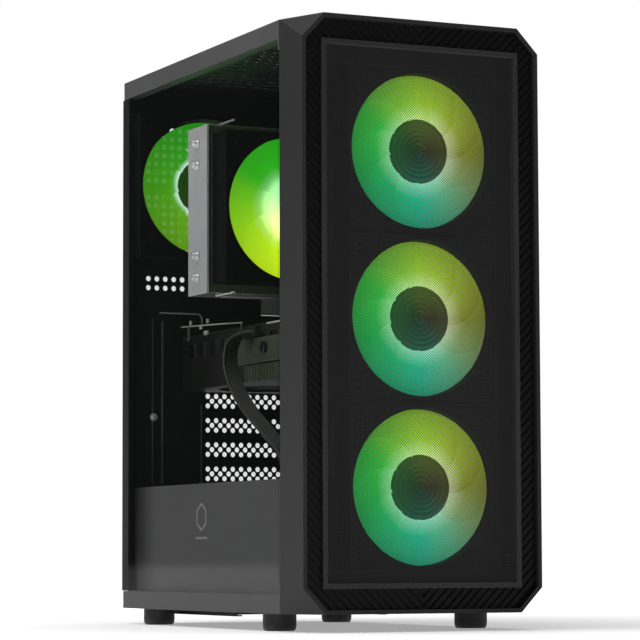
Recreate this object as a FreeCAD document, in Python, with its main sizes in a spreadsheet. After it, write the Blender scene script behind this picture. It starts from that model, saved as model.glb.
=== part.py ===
import FreeCAD, Part
import math
import os

import Sketcher
from FreeCAD import Placement, Rotation, Vector

# Desktop computer tower.  Millimetres, +Z up, front face toward -Y,
# origin on the floor under the middle of the bounding box.

os.makedirs("parts", exist_ok=True)
doc = FreeCAD.newDocument("desktop_tower")

# ---------------------------------------------------------------- dimensions
dims = doc.addObject("Spreadsheet::Sheet", "dims")
DRIVING = [
    ("case_width", 195, "overall width over both side panels"),
    ("body_height", 436, "height of bezel and body, feet not counted"),
    ("foot_height", 13, "height of the rubber feet"),
    ("case_depth", 355, "front plane to the outside of the rear steel"),
    ("screw_tail", 9.6, "how far the thumbscrews stand out behind the rear steel"),
    ("bezel_depth", 40, "depth of the front bezel"),
    ("facet_width", 17.5, "corner facet across the front"),
    ("facet_drop", 18.5, "corner facet down the front"),
    ("ring_width", 3, "bright outer ring and wall of the bezel"),
    ("channel_width", 13.5, "ribbed channel between ring and mesh rim"),
    ("channel_depth", 6, "depth of the ribbed channel"),
    ("rib_pitch", 7, "spacing of the 45 degree ribs"),
    ("rim_width", 3.5, "raised rim round the mesh"),
    ("sheet", 1, "steel sheet of the chassis"),
    ("rail_height", 14, "side rail height"),
    ("rail_width", 10, "side rail width"),
    ("glass", 4, "tempered glass thickness"),
    ("gap", 0.3, "clearance between pieces that move apart"),
    ("fan_size", 120, "square fan frame"),
    ("fan_depth", 25, "fan frame depth"),
    ("fan_hub", 48, "fan hub diameter"),
    ("fan_space", 4, "space between the front fans"),
    ("fan_setback", 7, "front fans behind the front plane"),
    ("fan_shift", 3, "front fans right of the middle"),
    ("rear_fan_drop", 87, "rear fan centre below the top of the body"),
    ("shroud_space", 11.3, "power supply to the top of its shroud"),
    ("cable_space", 15.5, "behind the motherboard tray"),
    ("standoff", 6.5, "motherboard standoff length"),
    ("board_thick", 1.6, "circuit board thickness"),
    ("board_height", 305, "motherboard height"),
    ("board_depth", 244, "motherboard depth"),
    ("slot_pitch", 20.32, "expansion slot pitch"),
    ("slot_space", 12.5, "shroud top to the lowest expansion slot"),
    ("cooler_height", 134, "fin stack height"),
    ("cooler_air", 10.4, "cooler cap to the inside of the glass"),
    ("cooler_drop", 91.92, "cooler centre below the top of the motherboard"),
    ("cooler_setback", 124, "cooler centre line to the rear steel"),
    ("card_length", 238, "graphics card length"),
    ("card_thick", 42, "graphics card below its board"),
    ("card_fan", 83.3, "diameter of the graphics card fans"),
    ("supply_length", 140, "power supply length"),
    ("supply_left", 14.3, "shroud side to the power supply"),
    ("supply_right", 8, "power supply to the tray"),
    ("supply_height", 86, "power supply height"),
    ("foot_dia", 25, "foot diameter"),
    ("foot_edge", 5.05, "foot to the side of the case"),
    ("filter_space", 3.1, "filter runner to the foot"),
    ("io_inset", 27.3, "control panel end to the side of the case"),
    ("top_filter_inset", 23.4, "top filter to the side of the case"),
    ("thumb_dia", 11.5, "thumbscrew head diameter"),
]
for row, (alias, number, note) in enumerate(DRIVING, start=1):
    dims.set(f"A{row}", note)
    dims.set(f"B{row}", str(number))
    dims.setAlias(f"B{row}", alias)
doc.recompute()

# Positions worked out from the driving dimensions.
place = doc.addObject("Spreadsheet::Sheet", "place")
WORKED_OUT = [
    ("front", "-(dims.case_depth + dims.screw_tail) / 2", "front plane"),
    ("rear", "front + dims.case_depth", "outside of the rear steel"),
    ("half", "dims.case_width / 2", "outside of the side panels"),
    ("low", "dims.foot_height", "underside of the body"),
    ("high", "dims.foot_height + dims.body_height", "top of the body"),
    ("back", "front + dims.bezel_depth", "rear edge of the bezel"),
    ("start", "back + 2 * dims.gap", "front end of the chassis rails"),
    ("inside", "rear - dims.sheet", "inside of the rear steel"),
    ("glass_in", "-half + dims.glass", "inside of the glass"),
    ("floor_top", "low + 1.2 * dims.sheet", "top of the chassis floor"),
    ("rail_left", "-half + dims.rail_width", "inner face of the left rails"),
    ("rail_right", "skin_right - dims.rail_width", "inner face of the right rails"),
    ("skin_right", "half - dims.sheet - dims.gap", "outer face of the right rails"),
    ("rail_top", "high - dims.rail_height", "underside of the top rails"),
    ("rail_low", "low + dims.rail_height", "top of the bottom rails"),
    ("deck", "high - 3 * dims.sheet", "underside of the top panel"),
    ("tray", "half - dims.sheet - dims.cable_space", "rear face of the tray"),
    ("board", "tray - dims.sheet - dims.standoff - dims.board_thick", "face of the motherboard"),
    ("board_top", "slot_first + 175", "top edge of the motherboard"),
    ("shroud_top", "floor_top + dims.supply_height + dims.shroud_space", "top of the shroud"),
    ("slot_low", "shroud_top + dims.slot_space", "lowest expansion slot"),
    ("slot_first", "slot_low + 6 * dims.slot_pitch", "highest expansion slot"),
    ("card", "slot_low + 5 * dims.slot_pitch + 8.4", "underside of the graphics board"),
    ("wall", "front + dims.fan_setback + dims.fan_depth", "front face of the fan wall"),
    ("fan_pitch", "dims.fan_size + dims.fan_space", "spacing of the front fans"),
    ("fan_mid", "low + dims.body_height / 2 - 2", "middle front fan centre"),
    ("rear_fan_height", "high - dims.rear_fan_drop", "rear fan centre"),
    ("rear_fan_x", "glass_in + dims.fan_size / 2 + 0.5", "rear fan centre"),
    ("open_half", "half - dims.ring_width - dims.channel_width - 1", "half width of bezel opening"),
    ("open_low", "low + dims.ring_width + dims.channel_width + 3", "bottom of bezel opening"),
    ("open_high", "high - dims.ring_width - dims.channel_width - 3", "top of bezel opening"),
    ("cooler_cap", "glass_in + dims.cooler_air", "outer face of the cooler cap"),
    ("cooler_reach", "board - 9 - cooler_cap", "cooler from its base to its cap"),
    ("cooler_centre", "board_top - dims.cooler_drop", "cooler centre"),
    ("cooler_y", "inside - dims.cooler_setback", "cooler centre line"),
    ("cooler_front", "cooler_y - 19", "front of the fin stack"),
    ("cooler_fan_x", "cooler_cap + dims.fan_size / 2 + 6", "cooler fan centre"),
    ("shroud_x", "glass_in + 1.2", "glass side of the shroud"),
    ("thumb_x", "half - 8.5", "thumbscrew distance from the middle"),
    ("thumb_high", "rail_top - 7.3", "upper thumbscrew"),
    ("thumb_low", "rail_low + 7.3", "lower thumbscrew"),
    ("supply_x", "shroud_x + dims.supply_left", "left side of the power supply"),
    ("supply_width", "tray - dims.sheet - dims.supply_right - supply_x", "power supply width"),
    ("supply_mid", "supply_x + supply_width / 2", "middle of the power supply"),
    ("supply_fan", "dims.supply_length / 2 - 13", "radius of the supply intake"),
    ("foot_x", "half - dims.foot_edge - dims.foot_dia / 2", "foot centres from the middle"),
    ("runner_x", "foot_x - dims.foot_dia / 2 - dims.filter_space", "filter runners"),
    ("io_half", "half - dims.io_inset", "half length of the control panel"),
    ("lead_x", "board - 137", "power leads of the graphics card"),
    ("supply_y", "inside - dims.supply_length", "front of the power supply"),
    ("lug_x", "(half + open_half) / 2 - 3", "bezel lugs"),
]
for row, (alias, formula, note) in enumerate(WORKED_OUT, start=1):
    place.setAlias(f"B{row}", alias)
for row, (alias, formula, note) in enumerate(WORKED_OUT, start=1):
    place.set(f"A{row}", note)
    place.set(f"B{row}", "=" + formula)
doc.recompute()


def size(alias):
    """Number of a driving dimension."""
    return float(getattr(dims, alias))


def at(alias):
    """Number of a worked-out position."""
    return float(getattr(place, alias))


# ------------------------------------------------------------------- helpers
SUB_PARTS = []
counter = {"used": 0}


def fresh(kind, hint):
    """New document object with a unique internal name."""
    counter["used"] += 1
    return doc.addObject(kind, f"{hint}_{counter['used']}")


def bind(item, prop, expression):
    """Bind one property to an expression, or set it when it is a number."""
    item.setExpression(prop, str(expression))


def locate(item, x, y, z):
    bind(item, ".Placement.Base.x", x)
    bind(item, ".Placement.Base.y", y)
    bind(item, ".Placement.Base.z", z)
    return item


def block(x0, x1, y0, y1, z0, z1):
    """Box between two opposite corners, each given as an expression."""
    item = fresh("Part::Box", "block")
    bind(item, "Length", f"({x1}) - ({x0})")
    bind(item, "Width", f"({y1}) - ({y0})")
    bind(item, "Height", f"({z1}) - ({z0})")
    return locate(item, x0, y0, z0)


TURNS = {
    "z": Rotation(),
    "y": Rotation(Vector(1, 0, 0), -90),
    "x": Rotation(Vector(0, 1, 0), 90),
}


def rod(axis, x, y, z, radius, length):
    """Cylinder that starts at a point and runs along +axis."""
    item = fresh("Part::Cylinder", "rod")
    bind(item, "Radius", radius)
    bind(item, "Height", length)
    item.Placement = Placement(Vector(), TURNS[axis])
    return locate(item, x, y, z)


def name_it(item, label):
    item.Label = label
    SUB_PARTS.append(item)
    return item


def fuse(pieces):
    if len(pieces) == 1:
        return pieces[0]
    item = fresh("Part::MultiFuse", "fuse")
    item.Shapes = pieces
    return item


def bundle(pieces):
    item = fresh("Part::Compound", "group")
    item.Links = pieces
    return item


def carve(base, tools):
    item = fresh("Part::Cut", "carve")
    item.Base = base
    item.Tool = tools[0] if len(tools) == 1 else bundle(tools)
    return item


def solid(shape):
    """Feature that holds a shape worked out in code from the sheet values."""
    item = fresh("Part::Feature", "worked")
    item.Shape = shape
    item.Placement = Placement()
    return item


def ring_wire(points):
    return Part.makePolygon(points + [points[0]])


def circle_wire(centre, axis, radius):
    return Part.Wire([Part.makeCircle(radius, centre, axis)])


def rect_wire_xz(x0, x1, z0, z1, y):
    return ring_wire([Vector(x0, y, z0), Vector(x1, y, z0), Vector(x1, y, z1), Vector(x0, y, z1)])


def rect_wire_xy(x0, x1, y0, y1, z):
    return ring_wire([Vector(x0, y0, z), Vector(x1, y0, z), Vector(x1, y1, z), Vector(x0, y1, z)])


def rect_wire_xn(n0, n1, z0, z1, x):
    return ring_wire([Vector(x, n0, z0), Vector(x, n1, z0), Vector(x, n1, z1), Vector(x, n0, z1)])


def plate(outer, holes, thickness):
    """Flat plate with any number of holes, thickened along a vector."""
    return Part.Face([outer] + holes, "Part::FaceMakerBullseye").extrude(thickness)


# ------------------------------------------------- PartDesign building blocks
def new_body(label):
    body = doc.addObject("PartDesign::Body", label)
    body.Label = label
    SUB_PARTS.append(body)
    return body


def flat_sketch(body, role, lift="0"):
    sketch = body.newObject("Sketcher::SketchObject", f"{body.Name}_sketch")
    plane = [item for item in body.Origin.OriginFeatures if item.Role == role][0]
    sketch.AttachmentSupport = (plane, [""])
    sketch.MapMode = "FlatFace"
    bind(sketch, ".AttachmentOffset.Base.z", lift)
    return sketch


def centred_rectangle(sketch, width, height):
    """Rectangle held symmetric about the sketch origin."""
    first = sketch.GeometryCount
    pts = [Vector(-5, -4, 0), Vector(5, -4, 0), Vector(5, 4, 0), Vector(-5, 4, 0)]
    for index in range(4):
        sketch.addGeometry(Part.LineSegment(pts[index], pts[(index + 1) % 4]), False)
    for index in range(4):
        sketch.addConstraint(
            Sketcher.Constraint("Coincident", first + index, 2, first + (index + 1) % 4, 1)
        )
    for index, kind in enumerate(("Horizontal", "Vertical", "Horizontal", "Vertical")):
        sketch.addConstraint(Sketcher.Constraint(kind, first + index))
    sketch.addConstraint(Sketcher.Constraint("Symmetric", first, 1, first + 1, 2, -1, 1))
    across = sketch.addConstraint(Sketcher.Constraint("DistanceX", first, 1, first, 2, 10))
    up = sketch.addConstraint(Sketcher.Constraint("DistanceY", first + 1, 1, first + 1, 2, 8))
    bind(sketch, f"Constraints[{across}]", width)
    bind(sketch, f"Constraints[{up}]", height)


def centred_circle(sketch, radius):
    ring = sketch.addGeometry(Part.Circle(Vector(), Vector(0, 0, 1), 5), False)
    sketch.addConstraint(Sketcher.Constraint("Coincident", ring, 3, -1, 1))
    length = sketch.addConstraint(Sketcher.Constraint("Radius", ring, 5))
    bind(sketch, f"Constraints[{length}]", radius)


def corner_circles(sketch, reach, radius):
    """Four equal circles on the corners of a centred square."""
    for sx, sy in ((1, 1), (-1, 1), (-1, -1), (1, -1)):
        spot = Vector(20 * sx, 20 * sy, 0)
        ring = sketch.addGeometry(Part.Circle(spot, Vector(0, 0, 1), 2), False)
        first, second = ((-1, 1), (ring, 3)) if sx > 0 else ((ring, 3), (-1, 1))
        across = sketch.addConstraint(Sketcher.Constraint("DistanceX", *first, *second, 20))
        first, second = ((-1, 1), (ring, 3)) if sy > 0 else ((ring, 3), (-1, 1))
        up = sketch.addConstraint(Sketcher.Constraint("DistanceY", *first, *second, 20))
        length = sketch.addConstraint(Sketcher.Constraint("Radius", ring, 2))
        bind(sketch, f"Constraints[{across}]", reach)
        bind(sketch, f"Constraints[{up}]", reach)
        bind(sketch, f"Constraints[{length}]", radius)


def turned_profile(sketch, points):
    """Closed profile beside the vertical axis; each point is two expressions."""
    count = len(points)
    rough = [(3 + index % 3, index) for index in range(count)]
    for index in range(count):
        here = Vector(*rough[index], 0)
        there = Vector(*rough[(index + 1) % count], 0)
        sketch.addGeometry(Part.LineSegment(here, there), False)
    for index in range(count):
        sketch.addConstraint(Sketcher.Constraint("Coincident", index, 2, (index + 1) % count, 1))
    for index, (radius, height) in enumerate(points):
        if radius == "0":
            sketch.addConstraint(Sketcher.Constraint("PointOnObject", index, 1, -2))
        else:
            out = sketch.addConstraint(Sketcher.Constraint("DistanceX", -1, 1, index, 1, 3))
            bind(sketch, f"Constraints[{out}]", radius)
        if height == "0":
            sketch.addConstraint(Sketcher.Constraint("PointOnObject", index, 1, -1))
        else:
            up = sketch.addConstraint(Sketcher.Constraint("DistanceY", -1, 1, index, 1, 3))
            bind(sketch, f"Constraints[{up}]", height)


def pad(body, sketch, length):
    item = body.newObject("PartDesign::Pad", f"{body.Name}_pad")
    item.Profile = sketch
    bind(item, "Length", length)
    return item


def pocket_up(body, sketch, length):
    """Pocket cut toward the sketch normal."""
    item = body.newObject("PartDesign::Pocket", f"{body.Name}_pocket")
    item.Profile = sketch
    item.Reversed = True
    bind(item, "Length", length)
    return item


def revolve(body, sketch):
    item = body.newObject("PartDesign::Revolution", f"{body.Name}_turned")
    item.Profile = sketch
    item.ReferenceAxis = (sketch, ["V_Axis"])
    item.Angle = 360
    return item


def set_body(body, axis, x, y, z):
    body.Placement = Placement(Vector(), TURNS[axis])
    locate(body, x, y, z)


# -------------------------------------------------------------- fans, rotors
def fan_frame(label, axis, x, y, z):
    """Square fan frame; its open side faces the start of the axis."""
    body = new_body(label)
    outline = flat_sketch(body, "XY_Plane")
    centred_rectangle(outline, "dims.fan_size", "dims.fan_size")
    pad(body, outline, "dims.fan_depth")
    throat = flat_sketch(body, "XY_Plane")
    centred_circle(throat, "dims.fan_size * 0.479")
    pocket_up(body, throat, "dims.fan_depth")
    bolts = flat_sketch(body, "XY_Plane")
    corner_circles(bolts, "dims.fan_size * 0.4375", "2.15")
    pocket_up(body, bolts, "dims.fan_depth")
    for width, height in (("dims.fan_size * 0.97", "4"), ("4", "dims.fan_size * 0.97")):
        strut = flat_sketch(body, "XY_Plane", "dims.fan_depth - 3")
        centred_rectangle(strut, width, height)
        pad(body, strut, "3")
    motor = flat_sketch(body, "XY_Plane", "dims.fan_depth - 4")
    centred_circle(motor, "dims.fan_hub / 2")
    pad(body, motor, "4")
    bearing = flat_sketch(body, "XY_Plane")
    centred_circle(bearing, "1.55")
    pocket_up(body, bearing, "dims.fan_depth")
    set_body(body, axis, x, y, z)
    return body


def blade_section(radius, half_chord, low, high, lean):
    """Thin slanted section in the plane that touches a cylinder."""
    corners = [
        Vector(radius, lean - half_chord, low),
        Vector(radius, lean + half_chord, high),
        Vector(radius, lean + half_chord + 2.2, high),
        Vector(radius, lean - half_chord + 2.2, low),
    ]
    return ring_wire(corners)


def rotor_shape(tip, hub, depth, blades, pin):
    """Impeller round the local Z axis with a bearing pin at its back."""
    chord = 2 * math.pi * tip / blades * 0.38
    outer = math.sqrt(tip ** 2 - (chord + 2.2) ** 2)
    middle = (hub + outer) / 2
    sections = [
        blade_section(hub - 2, chord * 0.5, depth * 0.15, depth * 0.9, 0),
        blade_section(middle, chord * 0.8, depth * 0.1, depth * 0.92, -1),
        blade_section(outer, chord * 0.97, depth * 0.08, depth * 0.95, 0),
    ]
    blade = Part.makeLoft(sections, True, True)
    cap = Part.makeCylinder(hub, depth)
    stub = Part.makeCylinder(1.5, pin, Vector(0, 0, depth))
    turned = []
    for index in range(blades):
        copy = blade.copy()
        copy.rotate(Vector(), Vector(0, 0, 1), index * 360 / blades)
        turned.append(copy)
    return cap.multiFuse(turned + [stub]).removeSplitter()


def fan_rotor(label, axis, x, y, z, tip, hub, depth, blades=9, pin=3.5):
    item = solid(rotor_shape(tip, hub, depth, blades, pin))
    item.Placement = Placement(Vector(), TURNS[axis])
    return name_it(locate(item, x, y, z), label)


def fan(frame_label, rotor_label, x, y, z):
    fan_frame(frame_label, "y", x, y, z)
    depth = size("fan_depth")
    fan_rotor(rotor_label, "y", x, f"({y}) + 1.5", z, size("fan_size") * 0.465,
              size("fan_hub") / 2, depth - 6, 9, 3)


# ------------------------------------------------------------------- chassis
floor = block("place.rail_left", "place.rail_right", "place.start", "place.inside",
              "place.low", "place.floor_top")
intake = []
for row in range(int((size("supply_length") - 24) / 11) + 1):
    slot_y = f"place.supply_y + 16 + {row} * 11"
    intake.append(block("place.supply_mid - place.supply_fan", "place.supply_mid + place.supply_fan",
                        slot_y, f"{slot_y} + 6", "place.low - 1", "place.floor_top + 1"))
runners = []
for side in (-1, 1):
    edge = f"place.runner_x * {side}"
    inner, outer = (f"{edge}", f"{edge} + 1.2") if side > 0 else (f"{edge} - 1.2", f"{edge}")
    lip0, lip1 = (f"{edge} - 4", outer) if side > 0 else (inner, f"{edge} + 4")
    runners.append(block(inner, outer, "place.supply_y - 20", "place.inside",
                         "place.low - 4.6", "place.low"))
    runners.append(block(lip0, lip1, "place.supply_y - 20", "place.inside",
                         "place.low - 4.6", "place.low - 3.6"))
name_it(fuse([carve(floor, intake)] + runners), "chassis_floor")

rails = []
for z0, z1 in (("place.rail_top", "place.high"), ("place.low", "place.rail_low")):
    for x0, x1 in (("-place.half", "place.rail_left"), ("place.rail_right", "place.skin_right")):
        tube = block(x0, x1, "place.start", "place.inside", z0, z1)
        core = block(f"{x0} + 1.2", f"{x1} - 1.2", "place.start + 1", "place.inside + 1",
                     f"{z0} + 1.2", f"{z1} - 1.2")
        rails.append(carve(tube, [core]))
for z0, z1 in (("place.rail_top - 8", "place.rail_top"), ("place.rail_low", "place.rail_low + 8")):
    rails.append(block("-place.half", "place.glass_in", "place.start", "place.start + 2.2", z0, z1))
name_it(bundle([fuse([rails[0], rails[4]]), rails[1], fuse([rails[2], rails[5]]), rails[3]]),
        "frame_rails")

foot_list = []
for sx in (-1, 1):
    for foot_y in ("place.front + 80", "place.rear - 37"):
        foot_list.append((f"place.foot_x * {sx}", foot_y))


def foot(x, y):
    """Turned rubber foot with a rounded lower edge and a screw recess."""
    body = doc.addObject("PartDesign::Body", "foot_body")
    sketch = flat_sketch(body, "XZ_Plane")
    outline = [("0", "2"), ("4", "2"), ("4", "0"), ("dims.foot_dia / 2 - 1.6", "0"),
               ("dims.foot_dia / 2 - 0.4", "1.4"), ("dims.foot_dia / 2", "4"),
               ("dims.foot_dia / 2", "dims.foot_height"), ("0", "dims.foot_height")]
    turned_profile(sketch, outline)
    revolve(body, sketch)
    return locate(body, x, y, "0")


name_it(bundle([foot(x, y) for x, y in foot_list]), "feet")

tray_plate = block("place.tray - dims.sheet", "place.tray", "place.start + 20", "place.inside",
                   "place.floor_top", "place.deck")
windows = [
    block("place.tray - 5", "place.tray + 5", "place.cooler_y - 55", "place.cooler_y + 55",
          "place.cooler_centre - 50", "place.cooler_centre + 50"),
]
for low, high in ((21, 71), (101, 161), (191, 251)):
    windows.append(block("place.tray - 5", "place.tray + 5", "place.start + 32",
                         "place.start + 60", f"place.slot_low + {low}", f"place.slot_low + {high}"))
board_back = "place.tray - dims.sheet - dims.standoff"
posts = []
for dy in (10, 130, 232):
    for dz in (8, 150, 295):
        posts.append(rod("x", board_back, f"place.inside - 0.5 - {dy}",
                         f"place.board_top - {dz}", "3", "dims.standoff"))
name_it(fuse([carve(tray_plate, windows)] + posts), "motherboard_tray")

wall_half = "place.half - 6.5"
wall = block(f"-({wall_half})", wall_half, "place.wall", "place.start",
             "place.low + 7", "place.high - 7")
hollow = block(f"-({wall_half}) + 1.2", f"{wall_half} - 1.2", "place.wall + 1.2",
               "place.start + 5", "place.low + 8.2", "place.high - 8.2")
wall_holes = [hollow]
fan_heights = [f"place.fan_mid + {step} * place.fan_pitch" for step in (1, 0, -1)]
for fan_z in fan_heights:
    wall_holes.append(rod("y", "dims.fan_shift", "place.wall - 5", fan_z,
                          "dims.fan_size * 0.479", "12"))
    for sx in (-1, 1):
        for sz in (-1, 1):
            wall_holes.append(rod("y", f"dims.fan_shift + {sx} * dims.fan_size * 0.4375",
                                  "place.wall - 5",
                                  f"{fan_z} + {sz} * dims.fan_size * 0.4375", "2.2", "12"))
lug_sites = [(sx, z) for sx in (-1, 1) for z in ("place.low + 40", "place.high - 40")]
for sx, lug_z in lug_sites:
    wall_holes.append(rod("y", f"{sx} * place.lug_x", "place.wall - 5", lug_z, "3.05", "12"))
name_it(carve(wall, wall_holes), "front_wall")

io_y0 = "place.start + 8"
io_y1 = "place.start + 38"
io_half = "place.io_half"
deck = block("place.rail_left", "place.rail_right", "place.start", "place.inside",
             "place.deck", "place.deck + dims.sheet")
vents = [block(f"-({io_half}) + 3", f"{io_half} - 3", io_y0 + " + 3", io_y1 + " - 3",
               "place.deck - 5", "place.deck + 5")]
for row in range(int((size("case_depth") - 130) / 14)):
    for column in range(4):
        vent_x = f"-58 + {column} * 30"
        vent_y = f"place.start + 60 + {row} * 14"
        vents.append(block(vent_x, f"{vent_x} + 24", vent_y, f"{vent_y} + 6",
                           "place.deck - 5", "place.deck + 5"))
name_it(carve(deck, vents), "top_panel")

shroud_z = "place.shroud_top"
shroud = block("place.shroud_x", "place.tray - dims.sheet", "place.start + 1", "place.inside",
               f"{shroud_z} - 1.2", shroud_z)
cable_slot = block("place.lead_x - 11", "place.lead_x + 12", "place.supply_y - 40",
                   "place.supply_y - 6", f"{shroud_z} - 5", f"{shroud_z} + 5")
shroud_vents = [cable_slot]
for row in range(5):
    for column in range(3):
        slot_x = f"{column} * 24"
        slot_y = f"place.front + 75 + {row} * 12"
        shroud_vents.append(block(slot_x, f"{slot_x} + 18", slot_y, f"{slot_y} + 5",
                                  f"{shroud_z} - 5", f"{shroud_z} + 5"))
shroud_side = block("place.shroud_x", "place.shroud_x + 1.2", "place.start + 1",
                    "place.inside - 10", "place.rail_low", f"{shroud_z} - 1.2")
name_it(bundle([carve(shroud, shroud_vents), shroud_side]), "psu_shroud")

# Generic line mark on the shroud: hexagon outline with a short bar below it.
mark_y = at("front") + 199
mark_z = at("shroud_top") - 26
mark_x = at("shroud_x")
hexagon = [Vector(mark_x, mark_y + 11 * math.sin(math.radians(60 * k)),
                  mark_z + 11 * math.cos(math.radians(60 * k))) for k in range(6)]
hex_hole = [Vector(mark_x, mark_y + 9.4 * math.sin(math.radians(60 * k)),
                   mark_z + 9.4 * math.cos(math.radians(60 * k))) for k in range(6)]
hex_ring = plate(ring_wire(hexagon), [ring_wire(hex_hole)], Vector(-0.6, 0, 0))
bar = block("place.shroud_x - 0.6", "place.shroud_x", "place.front + 188", "place.front + 210",
            f"{shroud_z} - 43", f"{shroud_z} - 41.4")
name_it(bundle([solid(hex_ring), bar]), "shroud_emblem")

# ---------------------------------------------------------------- rear panel
rear_y = at("inside")
slot_heights = [at("slot_low") + k * size("slot_pitch") for k in range(7)]
slot_x0 = at("board") - 106
slot_x1 = at("board") - 6
rear_holes = []
fan_x = at("rear_fan_x")
fan_z = at("rear_fan_height")
along_y = Vector(0, 1, 0)
grid = size("fan_size") * 0.0592
reach = size("fan_size") * 0.455
for column in range(-8, 9):
    for row in range(-8, 9):
        dx, dz = column * grid, row * grid
        if math.hypot(dx, dz) < reach:
            spot = Vector(fan_x + dx, rear_y, fan_z + dz)
            rear_holes.append(circle_wire(spot, along_y, grid * 0.335))
screw_reach = size("fan_size") * 0.4375
for sx in (-1, 1):
    for sz in (-1, 1):
        spot = Vector(fan_x + sx * screw_reach, rear_y, fan_z + sz * screw_reach)
        rear_holes.append(circle_wire(spot, along_y, 2.2))
io_x1 = at("board") - 0.3
io_x0 = io_x1 - 44.45
io_z1 = at("board_top") - 3.5
io_z0 = io_z1 - 158.75
rear_holes.append(rect_wire_xz(io_x0, io_x1, io_z0, io_z1, rear_y))
for slot_z in slot_heights:
    rear_holes.append(rect_wire_xz(slot_x0 + 6, slot_x1, slot_z - 6.3, slot_z + 6.3, rear_y))
for column in range(6):
    for row in range(2):
        spot = Vector(at("glass_in") + 18 + column * 7.6, rear_y, io_z0 + 20 + row * 7.6)
        rear_holes.append(circle_wire(spot, along_y, 2.2))
supply_x = at("supply_x")
supply_z = at("floor_top")
rear_holes.append(rect_wire_xz(supply_x + 4, supply_x + at("supply_width") - 4,
                               supply_z + 4, supply_z + size("supply_height") - 4, rear_y))
for side in (-1, 1):
    for thumb_z in (at("thumb_low"), at("thumb_high")):
        spot = Vector(side * at("thumb_x"), rear_y, thumb_z)
        rear_holes.append(circle_wire(spot, along_y, 2.0))
outline = rect_wire_xz(at("glass_in") + 0.3, at("skin_right"), at("low"), at("high"), rear_y)
name_it(solid(plate(outline, rear_holes, Vector(0, size("sheet"), 0))), "rear_panel")

covers = []
for index in (0, 1, 2, 3, 6):
    centre = slot_heights[index]
    holes = []
    for row in (-1, 0, 1):
        for column in range(12):
            spot = slot_x0 + 12 + column * 7.6 + (3.8 if row == 0 else 0)
            if spot < slot_x1 - 3:
                holes.append(circle_wire(Vector(spot, rear_y, centre + row * 4.0), along_y, 2.15))
    edge = rect_wire_xz(slot_x0, slot_x1 + 4, centre - 9.2, centre + 9.2, rear_y)
    covers.append(solid(plate(edge, holes, Vector(0, -0.9, 0))))

shield = plate(rect_wire_xz(io_x0 + 0.3, io_x1 - 0.3, io_z0 + 0.3, io_z1 - 0.3, rear_y), [],
               Vector(0, 1, 0))
housings = []
sockets_out = []
for offset, tall, wide in ((6, 16, 14), (26, 30, 32), (62, 30, 16), (98, 16, 30), (120, 32, 36)):
    low = io_z0 + offset
    housings.append(Part.makeBox(wide, 22, tall, Vector(io_x1 - wide, rear_y - 22, low)))
    sockets_out.append(Part.makeBox(wide - 6, 12, tall - 6,
                                    Vector(io_x1 - wide + 3, rear_y - 10, low + 3)))
port_block = shield.multiFuse(housings).cut(Part.makeCompound(sockets_out))
name_it(solid(port_block), "rear_ports")

# --------------------------------------------------------------- front bezel
FACET = (size("facet_width"), size("facet_drop"), size("bezel_depth"))


def facet_wedge(sx, sz, scale):
    """Corner piece cut off by a facet plane; scale 1 is the outer surface."""
    z_corner = at("high") if sz > 0 else at("low")
    corner = Vector(sx * at("half"), at("front"), z_corner)
    across = corner + Vector(-sx * FACET[0] * scale, 0, 0)
    down = corner + Vector(0, 0, -sz * FACET[1] * scale)
    behind = corner + Vector(0, FACET[2] * scale, 0)
    faces = []
    for trio in ((corner, across, down), (corner, down, behind),
                 (corner, behind, across), (across, behind, down)):
        faces.append(Part.Face(ring_wire(list(trio))))
    wedge = Part.makeSolid(Part.makeShell(faces))
    if wedge.Volume < 0:
        wedge.reverse()
    return wedge


def facet_wedges(scale):
    wedges = [facet_wedge(sx, sz, scale) for sx in (-1, 1) for sz in (-1, 1)]
    return solid(Part.makeCompound(wedges))


steepness = math.sqrt(sum(1 / side ** 2 for side in FACET))
inner_scale = 1 + size("ring_width") * steepness
shell = block("-place.half", "place.half", "place.front", "place.back", "place.low", "place.high")
inset = "dims.ring_width"
channel = block(f"-place.half + {inset}", f"place.half - {inset}", "place.front - 1",
                "place.front + dims.channel_depth", f"place.low + {inset}",
                f"place.high - {inset}")
cavity = block(f"-place.half + {inset}", f"place.half - {inset}",
               "place.front + dims.channel_depth + 2", "place.back + 1",
               f"place.low + {inset}", f"place.high - {inset}")
opening = block("-place.open_half", "place.open_half", "place.front + dims.channel_depth - 1",
                "place.front + dims.channel_depth + 3", "place.open_low", "place.open_high")
lugs = [rod("y", f"{sx} * place.lug_x", "place.front + dims.channel_depth + 1", z, "3",
            "dims.bezel_depth - dims.channel_depth - 3") for sx, z in lug_sites]
bezel = carve(carve(shell, [facet_wedges(1)]),
              [carve(channel, [facet_wedges(inner_scale)]),
               carve(cavity, [facet_wedges(inner_scale)]), opening])
name_it(fuse([bezel] + lugs), "front_bezel")

# Ribbed channel insert: thin ring with 45 degree ribs that rise toward the middle.
insert_back = at("front") + size("channel_depth")
rib_front = insert_back - 2.4
sheet_front = insert_back - 0.8
edge = size("ring_width") + 0.2
at_front = inner_scale + 0.2 * steepness - (rib_front - at("front")) / FACET[2]
cut_x = FACET[0] * (at_front - edge / FACET[1])
cut_z = FACET[1] * (at_front - edge / FACET[0])
rim_out = at("open_half") + 1.2
half = at("half")
top_z = at("high")
low_z = at("low")


def insert_outline(y):
    """Chamfered rectangle just inside the bezel ring."""
    points = []
    for sx, sz, order in ((1, 1, 0), (1, -1, 1), (-1, -1, 0), (-1, 1, 1)):
        corner_z = top_z if sz > 0 else low_z
        side = Vector(sx * (half - edge), y, corner_z - sz * cut_z)
        level = Vector(sx * (half - cut_x), y, corner_z - sz * edge)
        points += [level, side] if order == 0 else [side, level]
    return ring_wire(points)


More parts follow.
